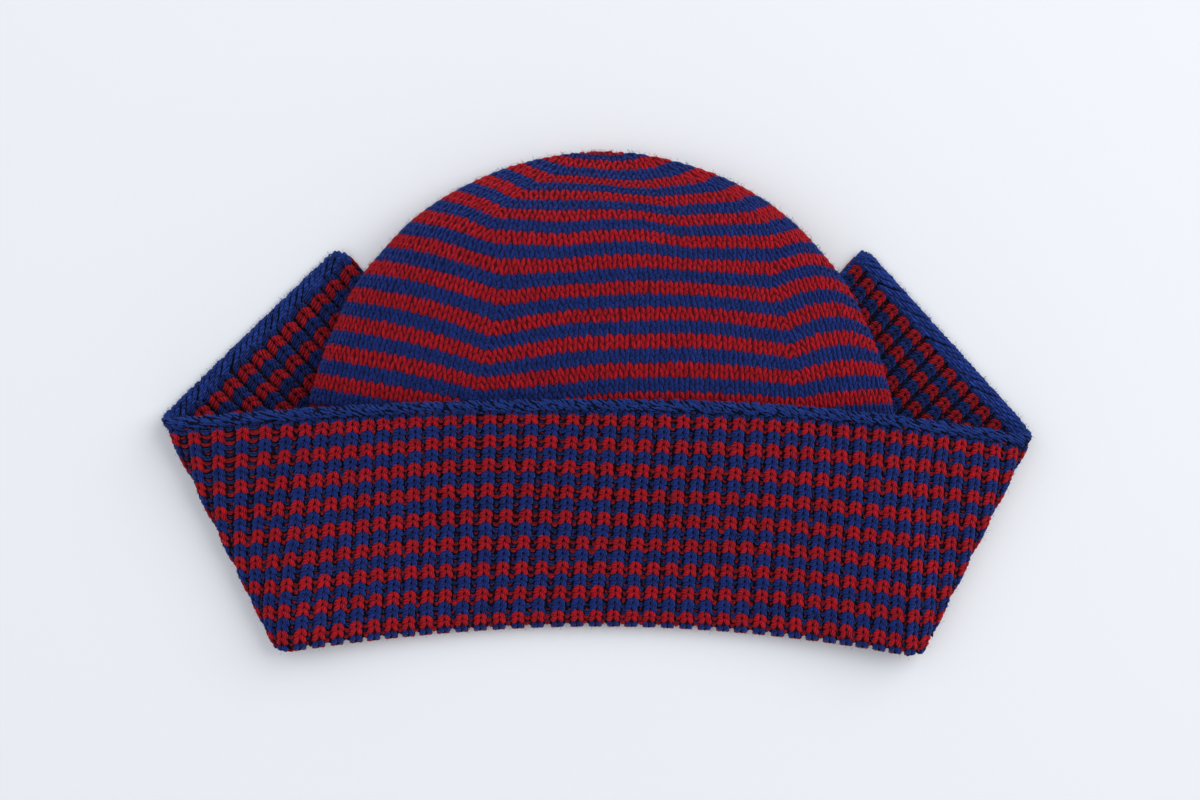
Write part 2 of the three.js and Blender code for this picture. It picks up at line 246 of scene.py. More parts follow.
@dataclass(frozen=True)
class CrownForm:
    """The middle of the crown's wall as a surface of around and climb, in millimetres.

    Around runs from -1 in the middle of the lower layer, over the left edge at -0.5 and the middle of the
    upper layer at 0, to 1 below again. Climb runs along the outline from the rim to the tip.
    """

    level: Curve = along_crown(
        -101.8, -87, -68, -48, -28, -8, 12, 29, 46, 61.5, 73.5, 83.3, 91.2, 97, 101.3, 103.2)
    left: Curve = along_crown(
        128.9, 128.4, 127.6, 126, 124, 121.5, 116, 109.5, 101.3, 89.5, 78.2, 65, 50.2, 35.3, 16.4, 0)
    right: Curve = along_crown(
        128.2, 127.9, 127.4, 126, 124, 121.5, 117, 110.7, 102.4, 90.6, 79.5, 66.8, 52.5, 37.5, 18.8, 0)
    roof: Curve = along_crown(
        1.7, 3.2, 7.6, 15.5, 25.5, 34, 39.5, 42.3, 43.5, 41.5, 36.5, 29, 21, 15.2, 11, 7.2)
    shoulder: Curve = along_crown(
        9, 11, 13, 15.5, 18, 20, 21, 21.5, 21.5, 20.5, 18.5, 16, 13.5, 11.5, 9.6, 7.2)
    floor: Curve = along_crown(
        1.2, 1.2, 1.2, 1.2, 1.2, 1.2, 1.2, 1.2, 1.2, 1.2, 1.2, 1.2, 1.3, 1.8, 3.6, 7.2)
    sag: Curve = along_crown(10.3, 8.2, 5, 2.2, 0.6, 0, 0, 0, 0, 0, 0, 0, 0, 0, 0, 0)
    lean: Curve = along_crown(-1, -0.8, -0.5, -0.2, 0, 0, 0, 0, 0, 0, 0, 0, 0, 0, 0, 0)
    roundness: float = 2.6
    end_lift: float = 4.6
    end_line: float = 42.0
    end_ramp: float = 15.0
    crowding: float = 1.6
    seen_from: float = -20.0
    seen_samples: int = 400

    def width(self, climb: Array, sign: Array) -> Array:
        """Half width of a row on the left, sign -1, or on the right, sign 1."""
        return np.maximum(np.where(sign < 0, self.left.at(climb), self.right.at(climb)), 0.0)

    def layers(self, climb: Array, x: Array, y: Array, width: Array) -> tuple[Array, Array, Array]:
        """Heights of the two layers and how far out a place is.

        The upper layer falls from roof to shoulder with a power of the way out. The lower layer is lifted
        by the flap's ends past a slanting line.

        Args:
            climb: Distance along the outline.
            x: Place across.
            y: Level of the row.
            width: Half width of the row.

        Returns:
            Upper height, lower height and the part of the way out.
        """
        out = np.where(width > 0, np.minimum(np.abs(x) / np.maximum(width, TINY), 1.0), 1.0)
        shoulder = self.shoulder.at(climb)
        upper = shoulder + (self.roof.at(climb) - shoulder) * (1 - out**self.roundness)
        beyond = np.abs(x) - y - self.end_line
        return upper, self.floor.at(climb) + self.end_lift * smoothstep(beyond, -self.end_ramp, 0.0), out

    def rounding(self, climb: Array, width: Array) -> tuple[Array, Array]:
        """The turn of a row over its edge, a hyperbola.

        Args:
            climb: Distance along the outline.
            width: Half width of the row.

        Returns:
            Radius of the turned edge, and the way over it from the edge to the middle.
        """
        upper, lower, _ = self.layers(climb, width, self.level.at(climb), width)
        radius = np.maximum((upper - lower) / 2, PROBE)
        return radius, np.sqrt((width + radius) ** 2 - radius**2)

    def way_in(self, climb: Array, sign: Array, reach: Array) -> Array:
        """How far in from the edge a place lies, the inverse of the spacing in point.

        Args:
            climb: Distance along the outline.
            sign: -1 left of the middle, 1 right of it.
            reach: Distance from the middle in plan.

        Returns:
            0 at the edge and 1 in the middle of a layer.
        """
        width = self.width(climb, sign)
        radius, full = self.rounding(climb, width)
        distance = np.sqrt((np.maximum(width - reach, 0) + radius) ** 2 - radius**2)
        return (distance / np.maximum(full, PROBE)) ** (1 / self.crowding)

    def point(self, around: Array, climb: Array) -> Array:
        """Place on the surface: a hyperbola carries each row from the upper layer over its edge below.

        Args:
            around: Place around the crown, -1 to 1.
            climb: Distance along the outline.

        Returns:
            Points with x, y and z in the last axis.
        """
        around, climb = np.broadcast_arrays(np.asarray(around, float), np.asarray(climb, float))
        sign = side_of(around)
        width = self.width(climb, sign)
        radius, full = self.rounding(climb, width)
        off = 1 - 2 * np.abs(around)
        distance = full * np.sign(off) * np.abs(off) ** self.crowding
        rounded = np.hypot(distance, radius)
        x = sign * (width - rounded + radius)
        level = self.level.at(climb)
        upper, lower, out = self.layers(climb, x, level, width)
        turn = (1 + distance / rounded) / 2
        y = level + sign * self.lean.at(climb) * out + self.sag.at(climb) * (1 - out**2) * turn
        return np.stack([x, y, lerp(lower, upper, turn)], -1)

    def normal(self, around: Array, climb: Array) -> Array:
        """Outward unit normal: a small step around crossed with a small step up.

        Args:
            around: Place around the crown, -1 to 1.
            climb: Distance along the outline.

        Returns:
            Unit vectors.
        """
        ahead, behind = np.minimum(around + PROBE, 1), np.maximum(around - PROBE, -1)
        above = np.minimum(climb + PROBE, CROWN_CLIMB[-1])
        below = np.maximum(climb - PROBE, CROWN_CLIMB[0])
        along = self.point(ahead, climb) - self.point(behind, climb)
        return unit(np.cross(along, self.point(around, above) - self.point(around, below)))

    def place(self, x: Array, y: Array) -> tuple[Array, Array]:
        """Inverse of point on the upper layer, above the flap.

        Args:
            x: Plan place across.
            y: Plan level.

        Returns:
            Around and climb.
        """
        climbs = np.linspace(self.seen_from, CROWN_CLIMB[-1], self.seen_samples)
        climb = np.interp(y, self.level.at(climbs), climbs)
        sign = side_of(x)
        return sign * (1 - self.way_in(climb, sign, np.abs(x))) / 2, climb


@dataclass(frozen=True)
class FlapSide:
    """How one end of the flap lies, in millimetres: its crease in plan and the fall of its edges."""

    foot: tuple[float, float]
    peak: tuple[float, float]
    rim_drop: float
    free_drop: float
    slope: float


@dataclass(frozen=True)
class FlapForm:
    """The middle of the flap's wall as a surface of rib and up, in millimetres.

    Rib counts ribs from the middle. Up is below 0 in the turn at the rim, and 0 to 1 from there to the
    free edge. Beyond the slanting creases the strip is folded under.
    """

    crown: CrownForm = CrownForm()
    left: FlapSide = FlapSide((-138.6, -107), (-185.2, -11), 10.5, 9.4, 0.14)
    right: FlapSide = FlapSide((137.8, -109), (182.8, -18), 12.5, 16.6, 0.085)
    spread: Curve = Curve((0, 9, 18.3, 25, 31, 38), (0, 60, 122, 182, 232, 290))
    half_ribs: float = 38.0
    pitch: float = 7.19
    panel_length: float = 86.7
    turn_length: float = 6.13
    rim_middle: float = -91.5
    rim_half_width: float = 131.0
    free_middle: float = -4.8
    free_bow: float = 2.2
    radius_at_rim: float = 5.4
    radius_at_edge: float = 4.6
    reach: tuple[float, float] = (30.0, 90.0)
    level: float = 1.9
    layer: float = 3.9
    height_at_rim: float = 12.7
    height_at_edge: float = 11.1
    slack: float = 1.2
    blend: float = 1.6
    clearance: float = 0.8
    clearance_power: int = 4
    fall: float = 0.35
    rim_gap: float = 0.8
    climb_rounds: int = 5

    def side(self, sign: Array, name: str, part: int | None = None) -> Array:
        """One size of the left or right end.

        Args:
            sign: -1 for the left end, 1 for the right.
            name: Field of FlapSide.
            part: 0 or 1 for the x or y of a place.

        Returns:
            The size at each sign.
        """
        values = [getattr(end, name) for end in (self.left, self.right)]
        low, high = values if part is None else [value[part] for value in values]
        return np.where(sign < 0, low, high)

    def crease(self, sign: Array, y: Array) -> tuple[Array, Array, Array]:
        """The slanting line at which an end is folded under.

        Args:
            sign: -1 for the left crease, 1 for the right.
            y: Level in plan.

        Returns:
            The crease's x at the level, and the two parts of its normal towards the middle.
        """
        foot_x, foot_y = self.side(sign, "foot", 0), self.side(sign, "foot", 1)
        run_x, run_y = self.side(sign, "peak", 0) - foot_x, self.side(sign, "peak", 1) - foot_y
        length = np.hypot(run_x, run_y)
        return foot_x + run_x * (y - foot_y) / run_y, -sign * run_y / length, sign * run_x / length

    def plan(self, rib: Array, up: Array) -> tuple[Array, Array, Array, Array]:
        """Plan of the folded strip.

        The flat strip mixes the rim line and the free edge. Its distance from the crease is then replaced
        by the longer side of a right triangle with the crease's radius.

        Args:
            rib: Rib number.
            up: Place up the panel, 0 to 1.

        Returns:
            Plan x and y, the turn from 0 on the lower side to 1 on the upper, and the sign of the end.
        """
        sign = side_of(rib)
        base = np.abs(rib) * self.pitch
        inner = np.minimum(base, self.rim_half_width) / self.rim_half_width
        slope, peak = self.side(sign, "slope"), np.abs(self.side(sign, "peak", 0))
        base_y = self.rim_middle - self.side(sign, "rim_drop") * inner**2
        base_y = base_y - slope * np.maximum(base - self.rim_half_width, 0)
        free = self.spread.at(np.abs(rib))
        bow = (np.minimum(free, peak) / peak) ** self.free_bow
        free_y = self.free_middle - self.side(sign, "free_drop") * bow
        free_y = free_y - slope * np.maximum(free - peak, 0)
        x, y = sign * lerp(base, free, up), lerp(base_y, free_y, up)
        _, inward_x, inward_y = self.crease(sign, y)
        distance = (x - self.side(sign, "foot", 0)) * inward_x + (y - self.side(sign, "foot", 1)) * inward_y
        radius = (1 - smoothstep(distance, *self.reach)) * lerp(self.radius_at_rim, self.radius_at_edge, up)
        rounded = np.maximum(np.hypot(distance, radius), TINY)
        shift = rounded - distance
        return x + inward_x * shift, y + inward_y * shift, (1 + distance / rounded) / 2, sign

    def crown_top(self, x: Array, y: Array) -> Array:
        """Height of the crown's upper layer below the flap, carried on past its outline.

        The climb below a plan place is found by a few rounds of taking off the sag and lean there.

        Args:
            x: Plan place across.
            y: Plan level.

        Returns:
            Heights.
        """
        sign, crown, climb = side_of(x), self.crown, y
        for _ in range(self.climb_rounds):
            out = np.minimum(np.abs(x) / crown.width(climb, sign), 1.0)
            climb = y - sign * crown.lean.at(climb) * out - crown.sag.at(climb) * (1 - out**2)
        width = crown.width(climb, sign)
        upper, _, out = crown.layers(climb, x, crown.level.at(climb), width)
        cleared = upper + self.clearance * out**self.clearance_power
        return cleared - self.fall * np.maximum(np.abs(x) - width, 0)

    def panel(self, rib: Array, up: Array) -> Array:
        """Point on the panel, which rests on the crown in the middle and bridges to the creases.

        The two heights are blended by a hyperbola that follows the higher one.

        Args:
            rib: Rib number.
            up: Place up the panel, 0 to 1.

        Returns:
            Points with x, y and z in the last axis.
        """
        x, y, turn, sign = self.plan(rib, up)
        resting = self.crown_top(x, y) + self.layer
        crease_x, _, _ = self.crease(sign, y)
        foot_y, peak_y = self.side(sign, "foot", 1), self.side(sign, "peak", 1)
        at_crease = lerp(self.height_at_rim, self.height_at_edge, (y - foot_y) / (peak_y - foot_y))
        middle = self.crown_top(np.zeros_like(x), y) + self.layer - self.slack
        out = np.minimum(np.abs(x / crease_x), 1.0)
        bridging = at_crease + (middle - at_crease) * (1 - out**self.crown.roundness)
        upper = (resting + bridging + np.hypot(resting - bridging, self.blend)) / 2
        return np.stack([x, y, lerp(self.level, upper, turn)], -1)

    def onward(self, rib: Array, up: Array) -> Array:
        """Unit step up the panel towards its free edge."""
        return unit(self.panel(rib, up) - self.panel(rib, up - PROBE))

    @staticmethod
    def facing(surface: Callable[[Array, Array], Array], rib: Array, up: Array, lowest: float) -> Array:
        """Unit normal towards the outer face: a small step along crossed with a small step up.

        Args:
            surface: The surface, as a function of rib and up.
            rib: Rib number.
            up: Place up the flap.
            lowest: Where up starts on this surface.

        Returns:
            Unit vectors.
        """
        top, low = np.minimum(up + PROBE, 1), np.maximum(up - PROBE, lowest)
        along = surface(rib + PROBE, up) - surface(rib - PROBE, up)
        return unit(np.cross(along, surface(rib, top) - surface(rib, low)))

    def panel_normal(self, rib: Array, up: Array) -> Array:
        """Unit normal of the panel towards its outer face."""
        return self.facing(self.panel, rib, up, 0)

    def point(self, rib: Array, up: Array) -> Array:
        """Point on the flap; below 0 a half turn leads from the panel back to the seam under it.

        Args:
            rib: Rib number.
            up: Place up the flap, -1 to 1.

        Returns:
            Points with x, y and z in the last axis.
        """
        rib, up = np.broadcast_arrays(np.asarray(rib, float), np.asarray(up, float))
        panel = self.panel(rib, np.maximum(up, 0))
        start = self.panel(rib, np.zeros_like(up))
        outward = unit(start - self.panel(rib, np.full_like(up, PROBE)))
        seam = start - self.panel_normal(rib, np.zeros_like(up)) * self.layer + outward * self.rim_gap
        angle = (1 + np.minimum(up, 0))[..., None] * math.pi
        turned = (start + seam) / 2 + (seam - start) * np.cos(angle) / 2
        turned = turned + outward * (self.layer / 2) * np.sin(angle)
        return np.where((up >= 0)[..., None], panel, turned)

    def normal(self, rib: Array, up: Array) -> Array:
        """Unit normal of the flap towards its outer face."""
        rib, up = np.broadcast_arrays(np.asarray(rib, float), np.asarray(up, float))
        return self.facing(self.point, rib, up, -1)


STRIPE_EDGES = (-1, 1, 5, 9, 13, 17, 19, 21, 23)


@dataclass(frozen=True)
class Spine:
    """A line up the crown that crosses its stripes: plan places at the lower edges of STRIPE_EDGES."""

    x: tuple[float, ...]
    y: tuple[float, ...]

    def at(self, edge: float) -> list[float]:
        """Plan x and y at a stripe's edge."""
        return [float(Curve(STRIPE_EDGES, part).at(np.array(edge))) for part in (self.x, self.y)]


LEFT_SPINES = ("left_outline", "left_middle", "left_kink")
FRONT_SPINES = ("left_kink", "left_front", "front", "right_front", "right_bend", "right_kink")
RIGHT_SPINES = ("right_kink", "right_crest", "right_outline")
ALL_SPINES = LEFT_SPINES + FRONT_SPINES[1:] + RIGHT_SPINES[1:]
PANEL_SPINES = {
    Panel.FRONT: FRONT_SPINES, Panel.RIGHT: RIGHT_SPINES, Panel.BACK: FRONT_SPINES, Panel.LEFT: LEFT_SPINES}


@dataclass(frozen=True)
class StripeField:
    """Where the stripes of the crown run in plan, in millimetres.

    Even stripes are red. Between the spines of a panel a stripe's edge is a cubic, and it bends sharply at
    the two kinks, where stitches are taken in; over the stripes in bends it turns to straight stretches,
    so that towards the tip it bends sharply at every spine.
    """

    form: CrownForm = CrownForm()
    left_outline: Spine = Spine(
        (-120.4, -116.8, -107.3, -93, -72.2, -45.7, -31.5, -16.9, -2),
        (-0.6, 11.2, 35, 57.4, 78.4, 93.2, 97.8, 101.2, 103))
    left_middle: Spine = Spine(
        (-73.3, -73.3, -73.1, -71.7, -58.2, -36.7, -24.7, -12.5, -1.4),
        (-7.7, 4, 28.8, 53.9, 75, 89.2, 94.8, 100.3, 103))
    left_kink: Spine = Spine(
        (-50.5, -50, -45, -39.5, -43.9, -30, -18.9, -7.5, -0.9),
        (-13, -1.2, 19.9, 44.3, 69, 85.4, 92.3, 99.6, 103))
    left_front: Spine = Spine(
        (-16.2, -16.2, -16.1, -16.1, -16.2, -15.2, -9.7, -3.3, -0.4),
        (-11.3, 0.5, 25.2, 46.3, 67, 85.5, 92, 99.3, 103))
    front: Spine = Spine(
        (0, 0, 0, 0, 0, 0, 0, 0, 0),
        (-9, 2.8, 26.2, 47.3, 68.5, 84.9, 90.9, 99, 103))
    right_front: Spine = Spine(
        (16.2, 16.2, 16.1, 16.1, 16.2, 13.1, 9.4, 5, 0.4),
        (-8.2, 3.6, 26.7, 48.1, 68.8, 83.5, 89.9, 98.8, 103))
    right_bend: Spine = Spine(
        (40.6, 40.6, 40.4, 40.3, 32.8, 24.6, 17.4, 9.1, 0.7),
        (-8.4, 3.4, 26.9, 47.2, 66, 82.5, 90, 98.8, 103))
    right_kink: Spine = Spine(
        (81.5, 81, 77, 70, 70, 50.4, 32.4, 13.2, 1),
        (-10.9, 0.9, 22.5, 45.1, 67, 85.8, 92.3, 99.2, 103))
    right_crest: Spine = Spine(
        (98.3, 98.3, 97.5, 88.1, 76.1, 52.6, 35.1, 16.5, 1.4),
        (-8, 3.8, 28.6, 50.6, 69.2, 87.8, 94.4, 100.1, 103))
    right_outline: Spine = Spine(
        (121.2, 119, 112.3, 100.4, 82.5, 57.3, 39.5, 20.2, 2),
        (-7.6, 4.2, 24.4, 47.6, 70.5, 88.9, 95.7, 101, 103))
    bends: tuple[float, float] = (8.0, 13.0)
    steps: int = 240
    read_step: float = 0.5
    least_height: float = 1e-6
    most_below: float = -8.0

    def knots(self, names: tuple[str, ...], edge: float) -> Array:
        """Plan x and y of the points at which a stripe's edge crosses the named spines."""
        return np.array([getattr(self, name).at(edge) for name in names]).T

    def line(self, panel: Panel, edge: float) -> tuple[Array, Array]:
        """A stripe's edge across one panel of the crown.

        The side panels are read closer together towards the outline, as the sine of an even angle, and
        each runs on under the crown as its mirror image. The back is the front put under.

        Args:
            panel: Which panel of the crown.
            edge: Stripe number, with parts for places between edges.

        Returns:
            Points and outward normals along the line, in order around the crown.
        """
        knot_x, knot_y = self.knots(PANEL_SPINES[panel], edge)
        closing = np.sin(np.linspace(0, math.pi / 2, self.steps // 2))
        if panel is Panel.RIGHT:
            x = lerp(knot_x[0], knot_x[-1], closing)
        elif panel is Panel.LEFT:
            x = lerp(knot_x[-1], knot_x[0], closing)[::-1]
        else:
            x = np.linspace(knot_x[0], knot_x[-1], self.steps)
        bent = float(smoothstep(np.array(edge), *self.bends))
        y = lerp(Curve(tuple(knot_x), tuple(knot_y), True).at(x), np.interp(x, knot_x, knot_y), bent)
        around, climb = self.form.place(x, y)
        under = side_of(around) * (1 - np.abs(around))
        if panel is Panel.BACK:
            around, climb = under[::-1], climb[::-1]
        elif panel is Panel.RIGHT:
            around, climb = np.concatenate([around, under[-2::-1]]), np.concatenate([climb, climb[-2::-1]])
        elif panel is Panel.LEFT:
            around, climb = np.concatenate([under[:0:-1], around]), np.concatenate([climb[:0:-1], climb])
        return self.form.point(around, climb), self.form.normal(around, climb)

    def stripe_at(self, x: Array, y: Array) -> Array:
        """Stripe number at plan points, read from the edges above and below them.

        Args:
            x: Plan place across.
            y: Plan level.

        Returns:
            Stripe numbers with their parts, carried on below the first edge.
        """
        numbers = np.arange(STRIPE_EDGES[0], STRIPE_EDGES[-1] + self.read_step, self.read_step)
        levels = np.stack([np.interp(x, *self.knots(ALL_SPINES, number)) for number in numbers])
        above = np.clip((levels <= y).sum(0), 1, len(numbers) - 1)
        low, high = (np.take_along_axis(levels, (above - step)[None], 0)[0] for step in (1, 0))
        part = np.clip((y - low) / np.maximum(high - low, self.least_height), self.most_below, 1)
        return lerp(numbers[above - 1], numbers[above], part)


@dataclass(frozen=True)
class YarnGrain:
    """The closed grain of yarn that a leg of a stitch shows, as rings along it and corners around it.

    A ring's centre lies on a parabola between the two ends, and its corners on an ellipse.
    """

    corners: int
    rings: tuple[float, ...]
    fullness: tuple[float, ...]

    def faces(self) -> tuple[list[list[int]], list[list[tuple[float, float]]]]:
        """The faces of one grain: a fan at each end, and bands of quads between the rings.

        Returns:
            Each face's corner numbers, and each face corner's place around and along the grain.
        """
        count, last = self.corners, len(self.rings) - 1
        faces, places = [], []
        along = (0.0, *self.rings, 1.0)
        for corner in range(count):
            after = (corner + 1) % count
            low, high, half = corner / count, (corner + 1) / count, (corner + 0.5) / count
            faces.append([0, 1 + after, 1 + corner])
            places.append([(half, along[0]), (high, along[1]), (low, along[1])])
            for ring in range(last):
                near, far = 1 + ring * count, 1 + (ring + 1) * count
                faces.append([near + corner, near + after, far + after, far + corner])
                places.append([(low, along[ring + 1]), (high, along[ring + 1]),
                               (high, along[ring + 2]), (low, along[ring + 2])])
            end, tip = 1 + last * count, 1 + (last + 1) * count
            faces.append([end + corner, end + after, tip])
            places.append([(low, along[-2]), (high, along[-2]), (half, along[-1])])
        return faces, places

    def points(self, grains: "Grains") -> Array:
        """Corner points of every grain: a pole, the rings and a pole.

        Args:
            grains: Where the grains lie.

        Returns:
            Points, grains by corners by three.
        """
        along = np.array((0.0, *np.repeat(self.rings, self.corners), 1.0))
        size = np.array((0.0, *np.repeat(self.fullness, self.corners), 0.0))
        around = np.tile(np.arange(self.corners) / self.corners, len(self.rings))
        angle = np.array((0.0, *around, 0.0)) * TURN
        run = unit(grains.end - grains.start)
        side = unit(np.cross(run, grains.normal))
        top = np.cross(side, run)
        centre = lerp(grains.start[:, None], grains.end[:, None], along[None, :, None])
        lift = (1 - (2 * along - 1) ** 2)[None, :, None] * grains.lift[:, None, None]
        across = (np.cos(angle) * size)[None, :, None] * grains.half_width[:, None, None] * side[:, None]
        depth = (np.sin(angle) * size)[None, :, None] * grains.half_depth[:, None, None] * top[:, None]
        return centre + lift * grains.normal[:, None] + across + depth


# Legs of the crown's stitches, plumper legs that stand on the ribs, thin bars in the grooves, threads and
# cords of the edge, and hairs.
CROWN_LEG = YarnGrain(corners=6, rings=(0.12, 0.5, 0.88), fullness=(0.74, 1.0, 0.74))
RIB_LEG = YarnGrain(corners=5, rings=(0.09, 0.5, 0.91), fullness=(0.82, 1.0, 0.78))
GROOVE_BAR = YarnGrain(corners=4, rings=(0.2, 0.5, 0.8), fullness=(0.8, 1.0, 0.8))
EDGE_THREAD = YarnGrain(corners=4, rings=(0.15, 0.5, 0.85), fullness=(0.75, 1.0, 0.75))
EDGE_CORD = YarnGrain(corners=6, rings=(0.1, 0.5, 0.9), fullness=(0.85, 1.0, 0.85))
HAIR = YarnGrain(corners=3, rings=(0.4,), fullness=(1.0,))


@dataclass
class Grains:
    """Many grains of yarn: their ends, outward normals and sizes in millimetres, and their wool."""

    start: Array
    end: Array
    normal: Array
    half_width: Array
    half_depth: Array
    lift: Array
    wool: Array

    @staticmethod
    def join(parts: list["Grains"]) -> "Grains":
        """One set of grains from several."""
        names = [column.name for column in fields(Grains)]
        return Grains(*(np.concatenate([getattr(part, name) for part in parts]) for name in names))

    def only(self, keep: Array) -> "Grains":
        """The grains for which keep is true, or whose numbers it gives."""
        return Grains(*(getattr(self, column.name)[keep] for column in fields(Grains)))

    def middle(self) -> Array:
        """Points halfway between the ends."""
        return (self.start + self.end) / 2


@dataclass(frozen=True)
class Fuzz:
    """Loose fibre ends that stand off the yarn as hairs, which soften the outline of the cloth."""

    count: int
    seed: int
    shortest: float = 0.8
    longest: float = 2.6
    half_width: float = 0.055
    stand: float = 0.7
    roots_along: tuple[float, float] = (0.15, 0.85)
    roots_across: tuple[float, float] = (-0.8, 0.8)
    root_height: float = 0.8
    bend: float = 0.2

    def over(self, grains: Grains) -> Grains:
        """Hairs rooted at random places on the tops of grains, aimed by a random vector plus the normal.

        Args:
            grains: The yarn that the hairs grow from.

        Returns:
            The hairs, as thin grains of the same wool.
        """
        chance = np.random.default_rng(self.seed)
        yarn = grains.only(chance.integers(0, len(grains.wool), self.count))
        along = chance.uniform(*self.roots_along, self.count)
        side = chance.uniform(*self.roots_across, self.count)
        across = unit(np.cross(yarn.end - yarn.start, yarn.normal))
        lift = (1 - (2 * along - 1) ** 2) * yarn.lift
        lift = lift + self.root_height * yarn.half_depth * np.sqrt(1 - side**2)
        root = lerp(yarn.start, yarn.end, along[:, None]) + yarn.normal * lift[:, None]
        root = root + across * (side * yarn.half_width)[:, None]
        wild = chance.normal(0, 1, (2, self.count, 3))
        length = chance.uniform(self.shortest, self.longest, self.count)
        tip = root + unit(unit(wild[0]) + self.stand * yarn.normal) * length[:, None]
        thick = np.full(self.count, self.half_width)
        return Grains(root, tip, unit(wild[1]), thick, thick, self.bend * length, yarn.wool)


@dataclass
class Piece:
    """A mesh put together from whole arrays, in plan millimetres until it is made."""

    name: str
    node: str | None
    slot: str

    def make(self, points: Array, corner_ids: Array, sizes: Array, materials: list[Material],
             picks: Array, maps: dict[str, Array], shades: dict[str, Array]) -> bpy.types.Object:
        """Make the object, attach it to the body and hide the imported part that it stands for.

        Args:
            points: Corner points in plan millimetres; those below the table are lifted to just above it.
            corner_ids: Corner numbers of all faces, one after another.
            sizes: Corners per face.
            materials: Materials of the piece.
            picks: Material number per face.
            maps: UV maps by name, one pair per face corner.
            shades: Values by name, one per point.

        Returns:
            The object.
        """
        placed = points + PLAN_ORIGIN
        placed[:, 2] = np.maximum(placed[:, 2], TABLE_CLEARANCE)
        mesh = bpy.data.meshes.new(self.name)
        mesh.vertices.add(len(placed))
        mesh.vertices.foreach_set("co", (placed * MM).astype(np.float32).ravel())
        mesh.loops.add(len(corner_ids))
        mesh.loops.foreach_set("vertex_index", corner_ids.astype(np.int32))
        mesh.polygons.add(len(sizes))
        mesh.polygons.foreach_set("loop_start", (np.cumsum(sizes) - sizes).astype(np.int32))
        mesh.polygons.foreach_set("material_index", picks.astype(np.int32))
        mesh.polygons.foreach_set("use_smooth", np.ones(len(sizes), bool))
        for material in materials:
            mesh.materials.append(material)
        for name, values in maps.items():
            mesh.uv_layers.new(name=name).data.foreach_set("uv", values.astype(np.float32).ravel())
        for name, values in shades.items():
            shade = mesh.attributes.new(name, "FLOAT", "POINT")
            shade.data.foreach_set("value", values.astype(np.float32))
        mesh.update(calc_edges=True)
        mesh.validate()
        piece = bpy.data.objects.new(self.name, mesh)
        bpy.context.scene.collection.objects.link(piece)
        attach(piece, BODY)
        if self.node:
            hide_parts(self.node)
        return piece


@dataclass
class StitchPiece(Piece):
    """A piece made of grains of yarn, with an atlas of one cell per grain."""

    grain: YarnGrain
    seed: int
    # The mean tone of the piece: below 0 on pieces in shadow it is painted shade, above 0 on the hairs and
    # the chain a painted highlight; each grain's tone is random about it.
    tone: float
    tone_limit: float = 6.0
    cell_margin: float = 0.06

    def build(self, grains: Grains, materials: list[Material]) -> bpy.types.Object:
        """Make all the grains as one mesh.

        Args:
            grains: The grains.
            materials: Red wool and blue wool.

        Returns:
            The object.
        """
        faces, places = self.grain.faces()
        points = self.grain.points(grains)
        count, corners = points.shape[:2]
        sizes = np.array([len(face) for face in faces])
        ids = (np.arange(count)[:, None] * corners + np.concatenate(faces)[None]).ravel()
        local = np.concatenate(places)
        side = math.ceil(math.sqrt(count))
        cell = np.stack([np.arange(count) % side, np.arange(count) // side], -1)
        inside = self.cell_margin + (1 - 2 * self.cell_margin) * local
        atlas = (cell[:, None] + inside[None]) / side
        yarn = np.broadcast_to(local[None], atlas.shape)
        # Each grain's random tone about the piece's mean, which carries the piece's painted shade and
        # highlight.
        tone = np.random.default_rng(self.seed).normal(self.tone, 1.0, count)
        tone = np.clip(tone, -self.tone_limit, self.tone_limit)
        return self.make(
            points.reshape(-1, 3), ids, np.tile(sizes, count), materials, np.repeat(grains.wool, len(faces)),
            {"Yarn": yarn, "OFBake": atlas}, {"tone": np.repeat(tone, corners)})


def build_stitches(slot: str, wools: list[Material],
                   parts: tuple[tuple[str, Grains, YarnGrain, int, float], ...]) -> list[bpy.types.Object]:
    """Make a piece for each row of a table of stitches.

    Args:
        slot: Slot name kept on every piece; it is not used.
        wools: Red wool and blue wool.
        parts: Name, grains, shape of a grain, seed and mean tone of each piece; the mean is painted shade
        on the pieces darkened for shadow and painted highlight on the lightened hairs and chain.

    Returns:
        The objects.
    """
    pieces = []
    for name, grains, grain, seed, tone in parts:
        pieces.append(StitchPiece(name, None, slot, grain, seed, tone).build(grains, wools))
    return pieces


@dataclass
class GroundPiece(Piece):
    """A piece of quads in one ground material, with its doubled points merged."""

    merge: float = 2e-6
    speck: float = 1e-7

    def quilt(self, points: Array, ids: Array, material: Material, knit: Array, atlas: Array,
              stripe: Array) -> bpy.types.Object:
        """Make the quads, then merge points that fall on one spot, so that seams and poles are closed.

        Args:
            points: Corner points in plan millimetres.
            ids: Corner numbers, one quad to a line.
            material: The ground material.
            knit: Stitch column and row at each point.
            atlas: UV place of each corner of each quad.
            stripe: Stripe number at each point.

        Returns:
            The object.
        """
        piece = self.make(
            points.reshape(-1, 3), ids.ravel(), np.full(len(ids), 4), [material], np.zeros(len(ids), int),
            {"Yarn": knit.reshape(-1, 2)[ids], "OFBake": atlas}, {"stripe": stripe.ravel()})
        shape = bmesh.new()
        shape.from_mesh(piece.data)
        bmesh.ops.remove_doubles(shape, verts=shape.verts, dist=self.merge)
        bmesh.ops.dissolve_degenerate(shape, edges=shape.edges, dist=self.speck)
        shape.to_mesh(piece.data)
        shape.free()
        return piece


